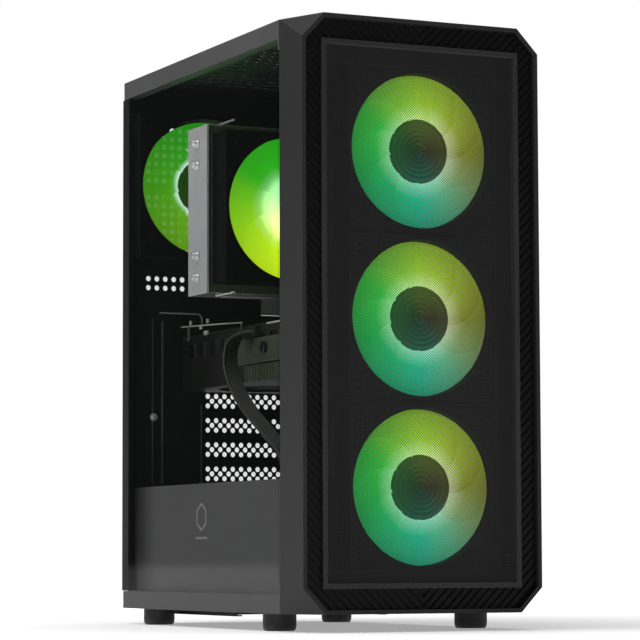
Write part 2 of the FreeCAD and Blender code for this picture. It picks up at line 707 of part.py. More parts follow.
def rim_hole(y, grow):
    return rect_wire_xz(-rim_out - grow, rim_out + grow, at("open_low") - 1.2 - grow,
                        at("open_high") + 1.2 + grow, y)


insert_ring = Part.Face([insert_outline(rib_front), rim_hole(rib_front, 0)],
                        "Part::FaceMakerBullseye")
rib_pitch = size("rib_pitch")
rib_wide = rib_pitch * 0.5
strips = []
rise = half
steps = int((top_z - low_z + rise) / rib_pitch) + 2
for step in range(steps):
    z0 = low_z + step * rib_pitch
    for sx in (-1, 1):
        points = [Vector(sx * half, rib_front, z0), Vector(sx * 0.05, rib_front, z0 - rise),
                  Vector(sx * 0.05, rib_front, z0 - rise + rib_wide),
                  Vector(sx * half, rib_front, z0 + rib_wide)]
        strips.append(Part.Face(ring_wire(points)))
ribs_flat = Part.makeCompound(strips).common(insert_ring)
rib_rise = Vector(0, sheet_front - rib_front, 0)
ribs = [face.extrude(rib_rise) for face in ribs_flat.Faces]
backing = plate(insert_outline(sheet_front), [rim_hole(sheet_front, 0)],
                Vector(0, insert_back - sheet_front, 0))
name_it(solid(backing.multiFuse(ribs)), "bezel_ribs")

rim_front = "place.front + 1.5"
rim = block("-place.open_half - 1", "place.open_half + 1", rim_front,
            "place.front + dims.channel_depth", "place.open_low - 1", "place.open_high + 1")
rim_core = block("-place.open_half - 1 + dims.rim_width", "place.open_half + 1 - dims.rim_width",
                 "place.front - 1", "place.front + dims.channel_depth + 1",
                 "place.open_low - 1 + dims.rim_width", "place.open_high + 1 - dims.rim_width")
name_it(carve(rim, [rim_core]), "mesh_rim")


def diamond_sheet(corner_a, corner_b, flat, pitch, fill, thickness):
    """Sheet with staggered diamond holes; flat says which axis it faces.

    The sheet is laid in bands that meet on zigzag lines between the holes.
    """
    u0, v0, level = corner_a
    u1, v1 = corner_b
    reach = pitch * fill / 2
    columns = int((u1 - u0 - 2 * pitch) / pitch)
    rows = int((v1 - v0 - 2 * pitch) / (pitch / 2))
    start_u = (u0 + u1) / 2 - columns * pitch / 2
    start_v = (v0 + v1) / 2 - rows * pitch / 4
    band_rows = 8

    def spot(u, v):
        return Vector(u, level, v) if flat == "y" else Vector(u, v, level)

    def row_shift(row):
        return pitch / 2 if row % 2 else 0

    def divide(row):
        """Zigzag line, left to right, just above one row of holes."""
        v = start_v + row * pitch / 2
        line = [spot(u0, v)]
        for column in range(columns + 1 - row % 2):
            u = start_u + row_shift(row) + column * pitch
            line += [spot(u - pitch / 2, v), spot(u, v + pitch / 2)]
        line += [spot(u + pitch / 2, v), spot(u1, v)]
        return line

    bands = []
    below = [spot(u0, v0), spot(u1, v0)]
    for first in range(0, rows + 1, band_rows):
        last = min(first + band_rows - 1, rows)
        above = [spot(u0, v1), spot(u1, v1)] if last == rows else divide(last)
        holes = []
        for row in range(first, last + 1):
            v = start_v + row * pitch / 2
            for column in range(columns + 1 - row % 2):
                u = start_u + column * pitch + row_shift(row)
                holes.append(ring_wire([spot(u + reach, v), spot(u, v + reach),
                                        spot(u - reach, v), spot(u, v - reach)]))
        bands.append(plate(ring_wire(below + above[::-1]), holes, thickness))
        below = above
    return bands[0].multiFuse(bands[1:]) if len(bands) > 1 else bands[0]


mesh_half = at("open_half") + 1 - size("rim_width")
mesh_z0 = at("open_low") - 1 + size("rim_width")
mesh_z1 = at("open_high") + 1 - size("rim_width")
front_mesh = diamond_sheet((-mesh_half, mesh_z0, at("front") + 2.6), (mesh_half, mesh_z1),
                           "y", 7, 0.8, Vector(0, 0.8, 0))
name_it(solid(front_mesh), "front_mesh")

# ---------------------------------------------------------------------- fans
fan_y = "place.front + dims.fan_setback"
for label, fan_z in zip(("top", "middle", "bottom"), fan_heights):
    fan(f"front_fan_frame_{label}", f"front_fan_rotor_{label}", "dims.fan_shift", fan_y, fan_z)
fan("rear_fan_frame", "rear_fan_rotor", "place.rear_fan_x", "place.inside - dims.fan_depth",
    "place.rear_fan_height")
cooler_fan_y = "place.cooler_front - dims.fan_depth"
fan("cooler_fan_frame", "cooler_fan_rotor", "place.cooler_fan_x", cooler_fan_y,
    "place.cooler_centre")

# ---------------------------------------------------------------- top controls
io_top = "place.high - 0.4"
panel_bed = block(f"-({io_half})", io_half, io_y0, io_y1, "place.deck + dims.sheet", io_top)
panel_well = block(f"-({io_half}) + 3.3", f"{io_half} - 3.3", f"{io_y0} + 3.3", f"{io_y1} - 3.3",
                   "place.deck - 6", "place.deck + dims.sheet")
power_x = "-place.io_half + 17.55"
reset_x = f"{power_x} + 19.5"
io_mid = "place.start + 23"
io_cuts = [
    rod("z", power_x, io_mid, "place.deck - 10", "8.3", "20"),
    rod("z", reset_x, io_mid, "place.deck - 10", "4.3", "20"),
]
port_spots = [("0", "13.4", "6"), ("22", "13.4", "6"), ("44", "7", "7"), ("58", "7", "7")]
for offset, wide, deep in port_spots:
    io_cuts.append(block(f"{offset} - {wide} / 2", f"{offset} + {wide} / 2",
                         f"{io_mid} - {deep} / 2", f"{io_mid} + {deep} / 2",
                         "place.deck - 10", "place.high + 5"))
name_it(carve(fuse([panel_bed, panel_well]), io_cuts), "io_panel")

port_shells = []
for offset, wide, deep in port_spots:
    outer = block(f"{offset} - {wide} / 2", f"{offset} + {wide} / 2", f"{io_mid} - {deep} / 2",
                  f"{io_mid} + {deep} / 2", "place.deck - 9", io_top)
    if wide == "7":
        inner = rod("z", offset, io_mid, "place.deck - 7", "1.8", "20")
        port_shells.append(carve(outer, [inner]))
    else:
        inner = block(f"{offset} - {wide} / 2 + 0.6", f"{offset} + {wide} / 2 - 0.6",
                      f"{io_mid} - {deep} / 2 + 0.6", f"{io_mid} + {deep} / 2 - 0.6",
                      "place.deck - 7", "place.high + 5")
        tongue = block(f"{offset} - {wide} / 2 + 1.6", f"{offset} + {wide} / 2 - 1.6",
                       f"{io_mid} + 0.2", f"{io_mid} + 2", "place.deck - 7", "place.high - 2")
        port_shells.append(fuse([carve(outer, [inner]), tongue]))
name_it(bundle(port_shells), "io_ports")


def push_button(label, x, radius):
    """Domed button with a collar that keeps it in the panel."""
    body = new_body(label)
    sketch = flat_sketch(body, "XZ_Plane")
    outline = [("0", "0"), (f"{radius}", "0"), (f"{radius}", "5.6"),
               (f"{radius} - 1", "6.4"), ("0", "6.4")]
    turned_profile(sketch, outline)
    revolve(body, sketch)
    return locate(body, x, io_mid, "place.high - 5.8")


push_button("power_button", power_x, 8)
push_button("reset_button", reset_x, 4)

# -------------------------------------------------------------- motherboard
name_it(block("place.board", "place.board + dims.board_thick",
              "place.inside - 0.5 - dims.board_depth", "place.inside - 0.5",
              "place.board_top - dims.board_height", "place.board_top"), "motherboard")

sockets = []
for index in range(4):
    socket_y = f"place.inside - 214 + {index} * 9.5"
    base = block("place.board - 5", "place.board", socket_y, f"{socket_y} + 6.5",
                 "place.board_top - 142", "place.board_top - 2")
    groove = block("place.board - 6", "place.board - 2", f"{socket_y} + 2",
                   f"{socket_y} + 4.5", "place.board_top - 139", "place.board_top - 5")
    sockets.append(carve(base, [groove]))
card_mid = "place.card + dims.board_thick / 2"
for drop in (0, 2, 4):
    slot_z = f"{card_mid} - {drop} * dims.slot_pitch"
    base = block("place.board - 11", "place.board", "place.inside - 145", "place.inside - 56",
                 f"{slot_z} - 3.6", f"{slot_z} + 3.6")
    groove = block("place.board - 12", "place.board - 3", "place.inside - 143",
                   "place.inside - 58", f"{slot_z} - 1", f"{slot_z} + 1")
    sockets.append(carve(base, [groove]))
name_it(bundle(sockets), "board_sockets")

modules = []
for index in (1, 3):
    stick_y = f"place.inside - 214 + {index} * 9.5"
    blade_card = block("place.board - 12", "place.board - 2.2", f"{stick_y} + 2.6",
                       f"{stick_y} + 3.9", "place.board_top - 138", "place.board_top - 6")
    spreader = block("place.board - 40", "place.board - 8", f"{stick_y} - 0.2",
                     f"{stick_y} + 6.7", "place.board_top - 138", "place.board_top - 6")
    notches = [block("place.board - 45", "place.board - 35", f"{stick_y} - 1",
                     f"{stick_y} + 8", f"place.board_top - {128 - 24 * k}",
                     f"place.board_top - {116 - 24 * k}") for k in range(5)]
    modules.append(fuse([carve(spreader, notches), blade_card]))
name_it(bundle(modules), "memory_modules")


def finned(x0, x1, y0, y1, z0, z1, count, along):
    """Heatsink block with grooves open toward the glass side."""
    base = block(x0, x1, y0, y1, z0, z1)
    grooves = []
    low, high = (y0, y1) if along == "z" else (z0, z1)
    for index in range(count):
        g0 = f"{low} + (({high}) - ({low})) * {(index + 0.35) / count:.4f}"
        g1 = f"{low} + (({high}) - ({low})) * {(index + 0.8) / count:.4f}"
        if along == "z":
            grooves.append(block(f"{x0} - 1", f"{x1} - 5", g0, g1, f"{z0} - 1", f"{z1} + 1"))
        else:
            grooves.append(block(f"{x0} - 1", f"{x1} - 5", f"{y0} - 1", f"{y1} + 1", g0, g1))
    return carve(base, grooves)


sinks = [
    finned("place.board - 26", "place.board", "place.inside - 53", "place.inside - 29",
           "place.cooler_centre - 46", "place.cooler_centre + 58", 12, "y"),
    finned("place.board - 24", "place.board", "place.inside - 150", "place.inside - 62",
           "place.cooler_centre + 66", "place.cooler_centre + 82", 10, "z"),
    finned("place.board - 8", "place.board", "place.inside - 226", "place.inside - 178",
           "place.slot_low + 24", "place.slot_low + 72", 8, "y"),
]
name_it(bundle(sinks), "board_heatsinks")

# ---------------------------------------------------------------- CPU cooler
cap_out = "place.cooler_cap"
half_stack = "dims.cooler_height / 2"
mid = "place.cooler_centre"
pipe_reaches = (0.27, 0.4)
pipe_r = 3


def pipe_rods(radius):
    """Straight pipe runs through the fins, as cutting tools."""
    tools = []
    for share in pipe_reaches:
        for side in (-1, 1):
            tools.append(rod("x", f"{cap_out} - 1", "place.cooler_y",
                             f"{mid} + {side} * {share} * dims.cooler_height", radius,
                             "place.cooler_reach"))
    return tools


stack_x0 = at("cooler_cap") + 1.5
stack_x1 = at("board") - 42
z_low = at("cooler_centre") - size("cooler_height") / 2
z_high = at("cooler_centre") + size("cooler_height") / 2
fin_windows = []
fin_step = 2.4
fin_count = int((stack_x1 - stack_x0 - 1) / fin_step)
for index in range(fin_count):
    x0 = stack_x0 + 0.5 + index * fin_step
    fin_windows.append(rect_wire_xz(x0, x0 + fin_step - 0.5, z_low + 0.6, z_high - 0.6,
                                    at("cooler_front")))
fin_edge = rect_wire_xz(stack_x0, stack_x0 + fin_count * fin_step + 0.5, z_low, z_high,
                        at("cooler_front"))
fin_block = solid(plate(fin_edge, fin_windows, Vector(0, 38, 0)))
name_it(carve(fin_block, pipe_rods(pipe_r)), "cooler_fins")

cap = block(cap_out, f"{cap_out} + 1.5", "place.cooler_front", "place.cooler_front + 38",
            f"{mid} - {half_stack}", f"{mid} + {half_stack}")
name_it(carve(cap, pipe_rods(pipe_r)), "cooler_cap")


def bent_pipe(reach):
    """U pipe: two legs through the fins and a base run under the block."""
    x_tip = at("cooler_cap") - 0.8
    x_base = at("board") - 17 - (6.5 if reach < 40 else 0)
    bend = 14
    y = at("cooler_y")
    zc = at("cooler_centre")
    turn = bend * math.sin(math.radians(45))
    lines = []
    for side in (1, -1):
        leg_z = zc + side * reach
        centre = Vector(x_base - bend, y, leg_z - side * bend)
        leg_end = Vector(x_base - bend, y, leg_z)
        halfway = Vector(centre.x + turn, y, centre.z + side * turn)
        base_end = Vector(x_base, y, leg_z - side * bend)
        lines.append((Vector(x_tip, y, leg_z), leg_end, halfway, base_end))
    top, bottom = lines
    edges = [
        Part.LineSegment(top[0], top[1]).toShape(),
        Part.Arc(top[1], top[2], top[3]).toShape(),
        Part.LineSegment(top[3], bottom[3]).toShape(),
        Part.Arc(bottom[3], bottom[2], bottom[1]).toShape(),
        Part.LineSegment(bottom[1], bottom[0]).toShape(),
    ]
    spine = Part.Wire(edges)
    profile = Part.Wire([Part.makeCircle(pipe_r, top[0], Vector(1, 0, 0))])
    return spine.makePipeShell([profile], True, False)


pipes = [bent_pipe(share * size("cooler_height")) for share in pipe_reaches]
pipe_set = solid(Part.makeCompound(pipes))
name_it(pipe_set, "cooler_heat_pipes")

base_block = block("place.board - 30", "place.board - 8", "place.cooler_y - 18",
                   "place.cooler_y + 18", f"{mid} - 22", f"{mid} + 22")
processor = block("place.board - 8", "place.board", "place.cooler_y - 19",
                  "place.cooler_y + 19", f"{mid} - 19", f"{mid} + 19")
bars = [block("place.board - 12", "place.board - 9", f"place.cooler_y + {off} - 5",
              f"place.cooler_y + {off} + 5", f"{mid} - 42", f"{mid} + 42") for off in (-15, 15)]
feet_rods = [rod("x", "place.board - 9", f"place.cooler_y + {off}", f"{mid} + {off_z}", "2.5", "9")
             for off in (-15, 15) for off_z in (-37, 37)]
pipe_bed = solid(Part.makeCompound(pipes))
name_it(carve(fuse([base_block, processor] + bars + feet_rods), [pipe_bed]), "cooler_base")


def wire_clip(side):
    """Spring wire: a long run beside the fins and two arms that hook on the fan."""
    z = at("cooler_centre") + side * (size("cooler_height") / 2 + 1)
    x0 = at("cooler_fan_x") - size("fan_size") * 0.4375
    x1 = at("cooler_fan_x") + size("fan_size") * 0.3
    y0 = at("cooler_front") - size("fan_depth") + 2
    y1 = at("cooler_front") + 16
    bend = 4
    cut = bend * (1 - math.sin(math.radians(45)))
    edges = [
        Part.LineSegment(Vector(x0, y0, z), Vector(x0, y1 - bend, z)).toShape(),
        Part.Arc(Vector(x0, y1 - bend, z), Vector(x0 + cut, y1 - cut, z),
                 Vector(x0 + bend, y1, z)).toShape(),
        Part.LineSegment(Vector(x0 + bend, y1, z), Vector(x1 - bend, y1, z)).toShape(),
        Part.Arc(Vector(x1 - bend, y1, z), Vector(x1 - cut, y1 - cut, z),
                 Vector(x1, y1 - bend, z)).toShape(),
        Part.LineSegment(Vector(x1, y1 - bend, z), Vector(x1, y0, z)).toShape(),
    ]
    profile = Part.Wire([Part.makeCircle(0.9, Vector(x0, y0, z), Vector(0, 1, 0))])
    return Part.Wire(edges).makePipeShell([profile], True, False)


name_it(solid(Part.makeCompound([wire_clip(1), wire_clip(-1)])), "cooler_fan_clips")

# ------------------------------------------------------------- graphics card
card_y0 = "place.inside - 1 - dims.card_length"
card_y1 = "place.inside - 1.2"
card_z = "place.card"
card_x0 = "place.board - 117"
card_x1 = "place.board - 11.5"
pcb = block(card_x0, card_x1, card_y0, card_y1, card_z, f"{card_z} + dims.board_thick")
tongue = block(f"{card_x1}", "place.board - 3.4", "place.inside - 140", "place.inside - 62",
               card_z, f"{card_z} + dims.board_thick")
name_it(fuse([pcb, tongue]), "gpu_board")
name_it(block(f"{card_x0} - 2", card_x1, card_y0, "place.inside - 6",
              f"{card_z} + dims.board_thick", f"{card_z} + dims.board_thick + 1.6"),
        "gpu_backplate")

fan_line = f"({card_x0} + {card_x1}) / 2"
gpu_fans = [f"{card_y0} + dims.card_fan / 2 + 8", f"{card_y1} - dims.card_fan / 2 - 22"]
gpu_r = "dims.card_fan / 2"
cover_z0 = f"{card_z} - dims.card_thick"
cover = block(f"{card_x0} - 3", f"{card_x1} - 1", card_y0, "place.inside - 8", cover_z0, card_z)
cover_core = block(f"{card_x0} - 1", f"{card_x1} - 3", f"{card_y0} + 2", "place.inside - 10",
                   f"{cover_z0} + 2", f"{card_z} + 1")
cover_cuts = [cover_core]
for gpu_y in gpu_fans:
    cover_cuts.append(rod("z", fan_line, gpu_y, f"{cover_z0} - 1", f"{gpu_r} + 2", "5"))
for row in range(9):
    slot_y = f"{card_y0} + 14 + {row} * dims.card_length * 0.1"
    cover_cuts.append(block(f"{card_x0} - 5", f"{card_x0} + 1", slot_y, f"{slot_y} + 15",
                            f"{card_z} - 15", f"{card_z} - 4"))
fan_arms = []
bearings = []
for gpu_y in gpu_fans:
    fan_arms.append(block(f"{card_x0} - 2", f"{card_x1} - 2", f"{gpu_y} - 3", f"{gpu_y} + 3",
                          f"{cover_z0} + 15.6", f"{cover_z0} + 17.6"))
    fan_arms.append(rod("z", fan_line, gpu_y, f"{cover_z0} + 13", "12", "4.6"))
    bearings.append(rod("z", fan_line, gpu_y, f"{cover_z0} + 12", "1.55", "4"))
name_it(carve(fuse([carve(cover, cover_cuts)] + fan_arms), bearings), "gpu_shroud")

sink_y0 = at("inside") - 1 - size("card_length") + 5
sink_y1 = at("inside") - 16
sink_z1 = at("card")
sink_z0 = sink_z1 - size("card_thick") * 0.5
comb = []
fin_total = int((sink_y1 - sink_y0) / 4)
for index in range(fin_total):
    y0 = sink_y0 + index * 4
    comb += [Vector(0, y0, sink_z0), Vector(0, y0 + 1, sink_z0),
             Vector(0, y0 + 1, sink_z1 - 4), Vector(0, y0 + 4, sink_z1 - 4)]
comb += [Vector(0, sink_y0 + fin_total * 4, sink_z1), Vector(0, sink_y0, sink_z1)]
fin_face = Part.Face(ring_wire(comb))
fin_face.translate(Vector(at("board") - 115, 0, 0))
name_it(solid(fin_face.extrude(Vector(99, 0, 0))), "gpu_heatsink")

for label, gpu_y in zip(("front", "rear"), gpu_fans):
    fan_rotor(f"gpu_fan_rotor_{label}", "z", fan_line, gpu_y, f"{cover_z0} + 1",
              size("card_fan") / 2, 12, 11, 11, 2.5)

card_mid_z = slot_heights[4] + size("slot_pitch") / 2
bracket_holes = []
for column in range(9):
    for row in (-1, 1):
        spot = Vector(slot_x0 + 12 + column * 6.5, rear_y, card_mid_z - 10 + row * 3.4)
        bracket_holes.append(circle_wire(spot, along_y, 2))
for column in range(4):
    x0 = slot_x0 + 13 + column * 21
    bracket_holes.append(rect_wire_xz(x0, x0 + 16, card_mid_z + 7, card_mid_z + 12, rear_y))
bracket_edge = rect_wire_xz(slot_x0, slot_x1 + 4, card_mid_z - 19.4, card_mid_z + 19.4, rear_y)
covers.append(solid(plate(bracket_edge, bracket_holes, Vector(0, -0.9, 0))))
name_it(bundle(covers), "slot_brackets")

# Three parallel leads from the card down through the shroud to the supply.
lead_x = at("lead_x")
lead_top = at("card") - 20
supply_front = at("supply_y")
turn_y = supply_front - 3
turn_z = at("floor_top") + size("supply_height") * 0.76


def power_lead(reach):
    """One lead: out of the card, down, and back into the supply."""
    y = turn_y - reach
    bend = 9
    c45 = math.cos(math.radians(45))
    edges = [
        Part.LineSegment(Vector(at("board") - 120.3, y, lead_top),
                         Vector(lead_x + bend, y, lead_top)).toShape(),
        Part.Arc(Vector(lead_x + bend, y, lead_top),
                 Vector(lead_x + bend * (1 - c45), y, lead_top - bend * (1 - c45)),
                 Vector(lead_x, y, lead_top - bend)).toShape(),
        Part.LineSegment(Vector(lead_x, y, lead_top - bend), Vector(lead_x, y, turn_z)).toShape(),
        Part.Arc(Vector(lead_x, y, turn_z),
                 Vector(lead_x, turn_y - reach * c45, turn_z - reach * c45),
                 Vector(lead_x, turn_y, turn_z - reach)).toShape(),
        Part.LineSegment(Vector(lead_x, turn_y, turn_z - reach),
                         Vector(lead_x, supply_front, turn_z - reach)).toShape(),
    ]
    profile = Part.Wire([Part.makeCircle(2.6, edges[0].Vertexes[0].Point, Vector(1, 0, 0))])
    return Part.Wire(edges).makePipeShell([profile], True, False)


leads = [power_lead(reach) for reach in (14, 20, 26)]
plug = Part.makeBox(8, 22, 9, Vector(at("board") - 128, turn_y - 31, lead_top - 4.5))
leads[0] = leads[0].multiFuse(leads[1:] + [plug])
name_it(solid(leads[0]), "gpu_power_cable")

# -------------------------------------------------------------- power supply
px0 = "place.supply_x"
px1 = "place.supply_x + place.supply_width"
pz0 = "place.floor_top"
pz1 = "place.floor_top + dims.supply_height"
psu_x = "place.supply_mid"
psu_y = "place.supply_y + dims.supply_length / 2"
psu_box = block(px0, px1, "place.supply_y", "place.inside", pz0, pz1)
psu_core = block(f"{px0} + 1.2", f"{px1} - 1.2", "place.supply_y + 1.2", "place.inside - 1.2",
                 f"{pz0} + 1.2", f"{pz1} - 1.2")
inlet_x = f"{px1} - 34"
inlet_z = f"{pz0} + dims.supply_height * 0.38"
switch_z = f"{pz0} + dims.supply_height * 0.76"
psu_vents = []
for column in range(10):
    for row in range(8):
        dx = 12 + column * 9
        dz = 12 + row * 9 + (4.5 if column % 2 else 0)
        if dz < size("supply_height") - 8:
            spot = Vector(at("supply_x") + dx, at("inside") + 3, at("floor_top") + dz)
            psu_vents.append(Part.makeCylinder(3.6, 8, spot, Vector(0, -1, 0)))
psu_cuts = [
    psu_core,
    rod("z", psu_x, psu_y, f"{pz0} - 2", "place.supply_fan", "5"),
    solid(Part.makeCompound(psu_vents)),
    block(f"{inlet_x} - 13.8", f"{inlet_x} + 13.8", "place.inside - 5", "place.inside + 5",
          f"{inlet_z} - 10.3", f"{inlet_z} + 10.3"),
    block(f"{inlet_x} - 7", f"{inlet_x} + 7", "place.inside - 5", "place.inside + 5",
          f"{switch_z} - 10.5", f"{switch_z} + 10.5"),
]
guard = []
for inset in (39, 27, 15, 3):
    hoop = fresh("Part::Torus", "hoop")
    bind(hoop, "Radius1", f"place.supply_fan - {inset}")
    hoop.Radius2 = 0.9
    guard.append(locate(hoop, psu_x, psu_y, f"{pz0} + 0.9"))
spoke = "2 * place.supply_fan + 3"
guard.append(rod("x", f"{psu_x} - ({spoke}) / 2", psu_y, f"{pz0} + 0.9", "0.85", spoke))
guard.append(rod("y", psu_x, f"{psu_y} - ({spoke}) / 2", f"{pz0} + 0.9", "0.85", spoke))
psu_arm = block(f"{px0} + 0.6", f"{px1} - 0.6", f"{psu_y} - 4", f"{psu_y} + 4",
                f"{pz0} + 24", f"{pz0} + 27")
psu_motor = rod("z", psu_x, psu_y, f"{pz0} + 21", "20", "6")
psu_bore = rod("z", psu_x, psu_y, f"{pz0} + 20", "1.55", "5")
name_it(carve(fuse([carve(psu_box, psu_cuts), psu_arm, psu_motor] + guard), [psu_bore]),
        "psu_case")
fan_rotor("psu_fan_rotor", "z", psu_x, psu_y, f"{pz0} + 4",
          at("supply_fan") - 3, 20, 16.7, 9, 3)

inlet = block(f"{inlet_x} - 13.5", f"{inlet_x} + 13.5", "place.inside - 16", "place.inside + 1.5",
              f"{inlet_z} - 10", f"{inlet_z} + 10")
mouth = block(f"{inlet_x} - 11.5", f"{inlet_x} + 11.5", "place.inside - 14", "place.inside + 5",
              f"{inlet_z} - 8", f"{inlet_z} + 8")
pins = [block(f"{inlet_x} + {dx} - 1", f"{inlet_x} + {dx} + 1", "place.inside - 15",
              "place.inside - 3.5", f"{inlet_z} + {dz} - 1.5", f"{inlet_z} + {dz} + 1.5")
        for dx, dz in ((-7, -2), (0, 2), (7, -2))]
name_it(fuse([carve(inlet, [mouth])] + pins), "psu_inlet")

rocker_y = "place.inside - 4.5"
barrel = rod("x", f"{inlet_x} - 6.4", rocker_y, switch_z, "9", "12.8")
trims = [block(f"{inlet_x} - 20", f"{inlet_x} + 20", "place.inside - 40",
               f"{rocker_y} - 3", f"{switch_z} - 20", f"{switch_z} + 20")]
for tilt in (-1, 1):
    lean = fresh("Part::Box", "lean")
    lean.Length, lean.Width, lean.Height = 40, 20, 40
    turn = Rotation(Vector(1, 0, 0), tilt * 14)
    corner = turn.multVec(Vector(-20, 5.4, -20))
    lean.Placement = Placement(Vector(), turn)
    locate(lean, f"{inlet_x} + {corner.x:.4f}", f"{rocker_y} + {corner.y:.4f}",
           f"{switch_z} + {corner.z:.4f}")
    trims.append(lean)
name_it(carve(barrel, trims), "psu_switch")

# --------------------------------------------------------------- side panels
glass = new_body("glass_panel")
face = flat_sketch(glass, "YZ_Plane")
glass_y0 = "place.start + 2.5"
glass_y1 = "place.rear - 12"
centred_rectangle(face, f"({glass_y1}) - ({glass_y0})",
                  "place.rail_top - place.rail_low - 2 * dims.gap")
pad(glass, face, "dims.glass")
locate(glass, "-place.half", f"(({glass_y1}) + ({glass_y0})) / 2",
       "(place.rail_top + place.rail_low) / 2")

fz0 = "place.rail_low + dims.gap"
fz1 = "place.rail_top - dims.gap"
leg_y = "place.rear + dims.gap"
flange = [
    block("-place.half", "-place.half + 1.2", glass_y1, f"{leg_y} + 1.2", fz0, fz1),
    block("-place.half + 1.2", "place.glass_in", glass_y1, f"{glass_y1} + 1.2", fz0, fz1),
    block("-place.half", "-place.half + 5", leg_y, f"{leg_y} + 1.2", fz0, fz1),
]
for z0, z1 in ((fz0, f"{fz0} + 14"), (f"{fz1} - 14", fz1)):
    flange.append(block("-place.half", "-place.half + 14", leg_y, f"{leg_y} + 1.2", z0, z1))
thumb_holes = [rod("y", "-place.thumb_x", "place.rear - 2", z, "2.0", "8")
               for z in ("place.thumb_low", "place.thumb_high")]
name_it(carve(fuse(flange), thumb_holes), "glass_flange")

right = [
    block("place.half - dims.sheet", "place.half", "place.start", f"{leg_y} + 1.2",
          "place.low + 0.3", "place.high - 0.3"),
    block("place.half - 5", "place.half", leg_y, f"{leg_y} + 1.2",
          "place.low + 0.3", "place.high - 0.3"),
]
for z0, z1 in ((fz0, f"{fz0} + 14"), (f"{fz1} - 14", fz1)):
    right.append(block("place.half - 14", "place.half", leg_y, f"{leg_y} + 1.2", z0, z1))
right_holes = [rod("y", "place.thumb_x", "place.rear - 2", z, "2.0", "8")
               for z in ("place.thumb_low", "place.thumb_high")]
name_it(carve(fuse(right), right_holes), "right_side_panel")


def thumbscrew(label, x, z):
    """Turned thumbscrew with a grooved rim; shank toward the case."""
    body = new_body(label)
    sketch = flat_sketch(body, "XZ_Plane")
    rim = "dims.thumb_dia / 2"
    outline = [("0", "0"), ("1.9", "0"), ("1.9", "5.2"), (f"{rim} - 1", "5.2"),
               (rim, "6"), (rim, "12"), (f"{rim} - 1", "12.8"), ("0", "12.8")]
    turned_profile(sketch, outline)
    revolve(body, sketch)
    grooves = flat_sketch(body, "XY_Plane", "7")
    groove_r = size("thumb_dia") / 2 + 0.15
    for index in range(12):
        turn = math.radians(index * 30)
        spot = Vector(groove_r * math.cos(turn), groove_r * math.sin(turn), 0)
        grooves.addGeometry(Part.Circle(spot, Vector(0, 0, 1), 0.55), False)
    pocket_up(body, grooves, "4.5")
    set_body(body, "y", x, "place.rear + 2 * dims.gap + 1.2 - 5.2", z)


for side, sign in (("left", "-"), ("right", "")):
    thumbscrew(f"thumbscrew_{side}_top", f"{sign}place.thumb_x", "place.thumb_high")
    thumbscrew(f"thumbscrew_{side}_bottom", f"{sign}place.thumb_x", "place.thumb_low")

# ------------------------------------------------------------------- filters
top_y0 = at("start") + 54
top_y1 = at("rear") - 8
top_half = at("half") - size("top_filter_inset")
deck_top = at("deck") + size("sheet") + size("gap")
top_sheet = diamond_sheet((-top_half, top_y0, deck_top), (top_half, top_y1),
                          "z", 9, 0.8, Vector(0, 0, 0.8))
edge_frame = plate(rect_wire_xy(-top_half, top_half, top_y0, top_y1, deck_top + 0.8),
                   [rect_wire_xy(-top_half + 6, top_half - 6, top_y0 + 6, top_y1 - 6,
                                 deck_top + 0.8)], Vector(0, 0, 0.8))
name_it(solid(top_sheet.fuse(edge_frame)), "top_dust_filter")

low_y0 = at("supply_y") - 15
low_y1 = at("rear") - 1
low_half = at("runner_x") - 0.4
low_z = at("low") - 3.3
low_sheet = diamond_sheet((-low_half, low_y0, low_z), (low_half, low_y1),
                          "z", 9, 0.8, Vector(0, 0, 0.8))
low_frame = plate(rect_wire_xy(-low_half, low_half, low_y0, low_y1, low_z + 0.8),
                  [rect_wire_xy(-low_half + 6, low_half - 6, low_y0 + 6, low_y1 - 6,
                                low_z + 0.8)], Vector(0, 0, 2))
pull_tab = Part.makeBox(40, 6, 2.8, Vector(-20, low_y1, low_z))
name_it(solid(low_sheet.multiFuse([low_frame, pull_tab])), "psu_dust_filter")

# ---------------------------------------------------------------- drive cage
cx0, cx1 = "place.tray - 33 - 106", "place.tray - 33"
cy0, cy1 = "place.front + 54", "place.supply_y - 14"
cz0, cz1 = "place.floor_top", "place.shroud_top - 14"
cage_mid = f"({cz0}) + (({cz1}) - ({cz0})) / 2"
cage_walls = [
    block(cx0, cx1, cy0, cy1, cz0, f"{cz0} + 1.2"),
    block(f"{cx0} + 1.2", f"{cx1} - 1.2", cy0, cy1, f"{cage_mid} - 0.6", f"{cage_mid} + 0.6"),
    block(cx0, f"{cx0} + 1.2", cy0, cy1, f"{cz0} + 1.2", f"{cz1} - 1.2"),
    block(f"{cx1} - 1.2", cx1, cy0, cy1, f"{cz0} + 1.2", f"{cz1} - 1.2"),
]
cage_lid = block(cx0, cx1, cy0, cy1, f"{cz1} - 1.2", cz1)
cage_cuts = []
cage_length = at("supply_y") - 14 - at("front") - 54
for row in range(int((cage_length - 28) / 26) + 1):
    slot_y = f"{cy0} + 14 + {row} * 26"
    cage_cuts.append(block(f"{cx0} + 20", f"{cx1} - 20", slot_y, f"{slot_y} + 14",
                           f"{cz1} - 5", f"{cz1} + 5"))
name_it(bundle(cage_walls + [carve(cage_lid, cage_cuts)]), "drive_cage")

# -------------------------------------------------------------------- screws
screws = []


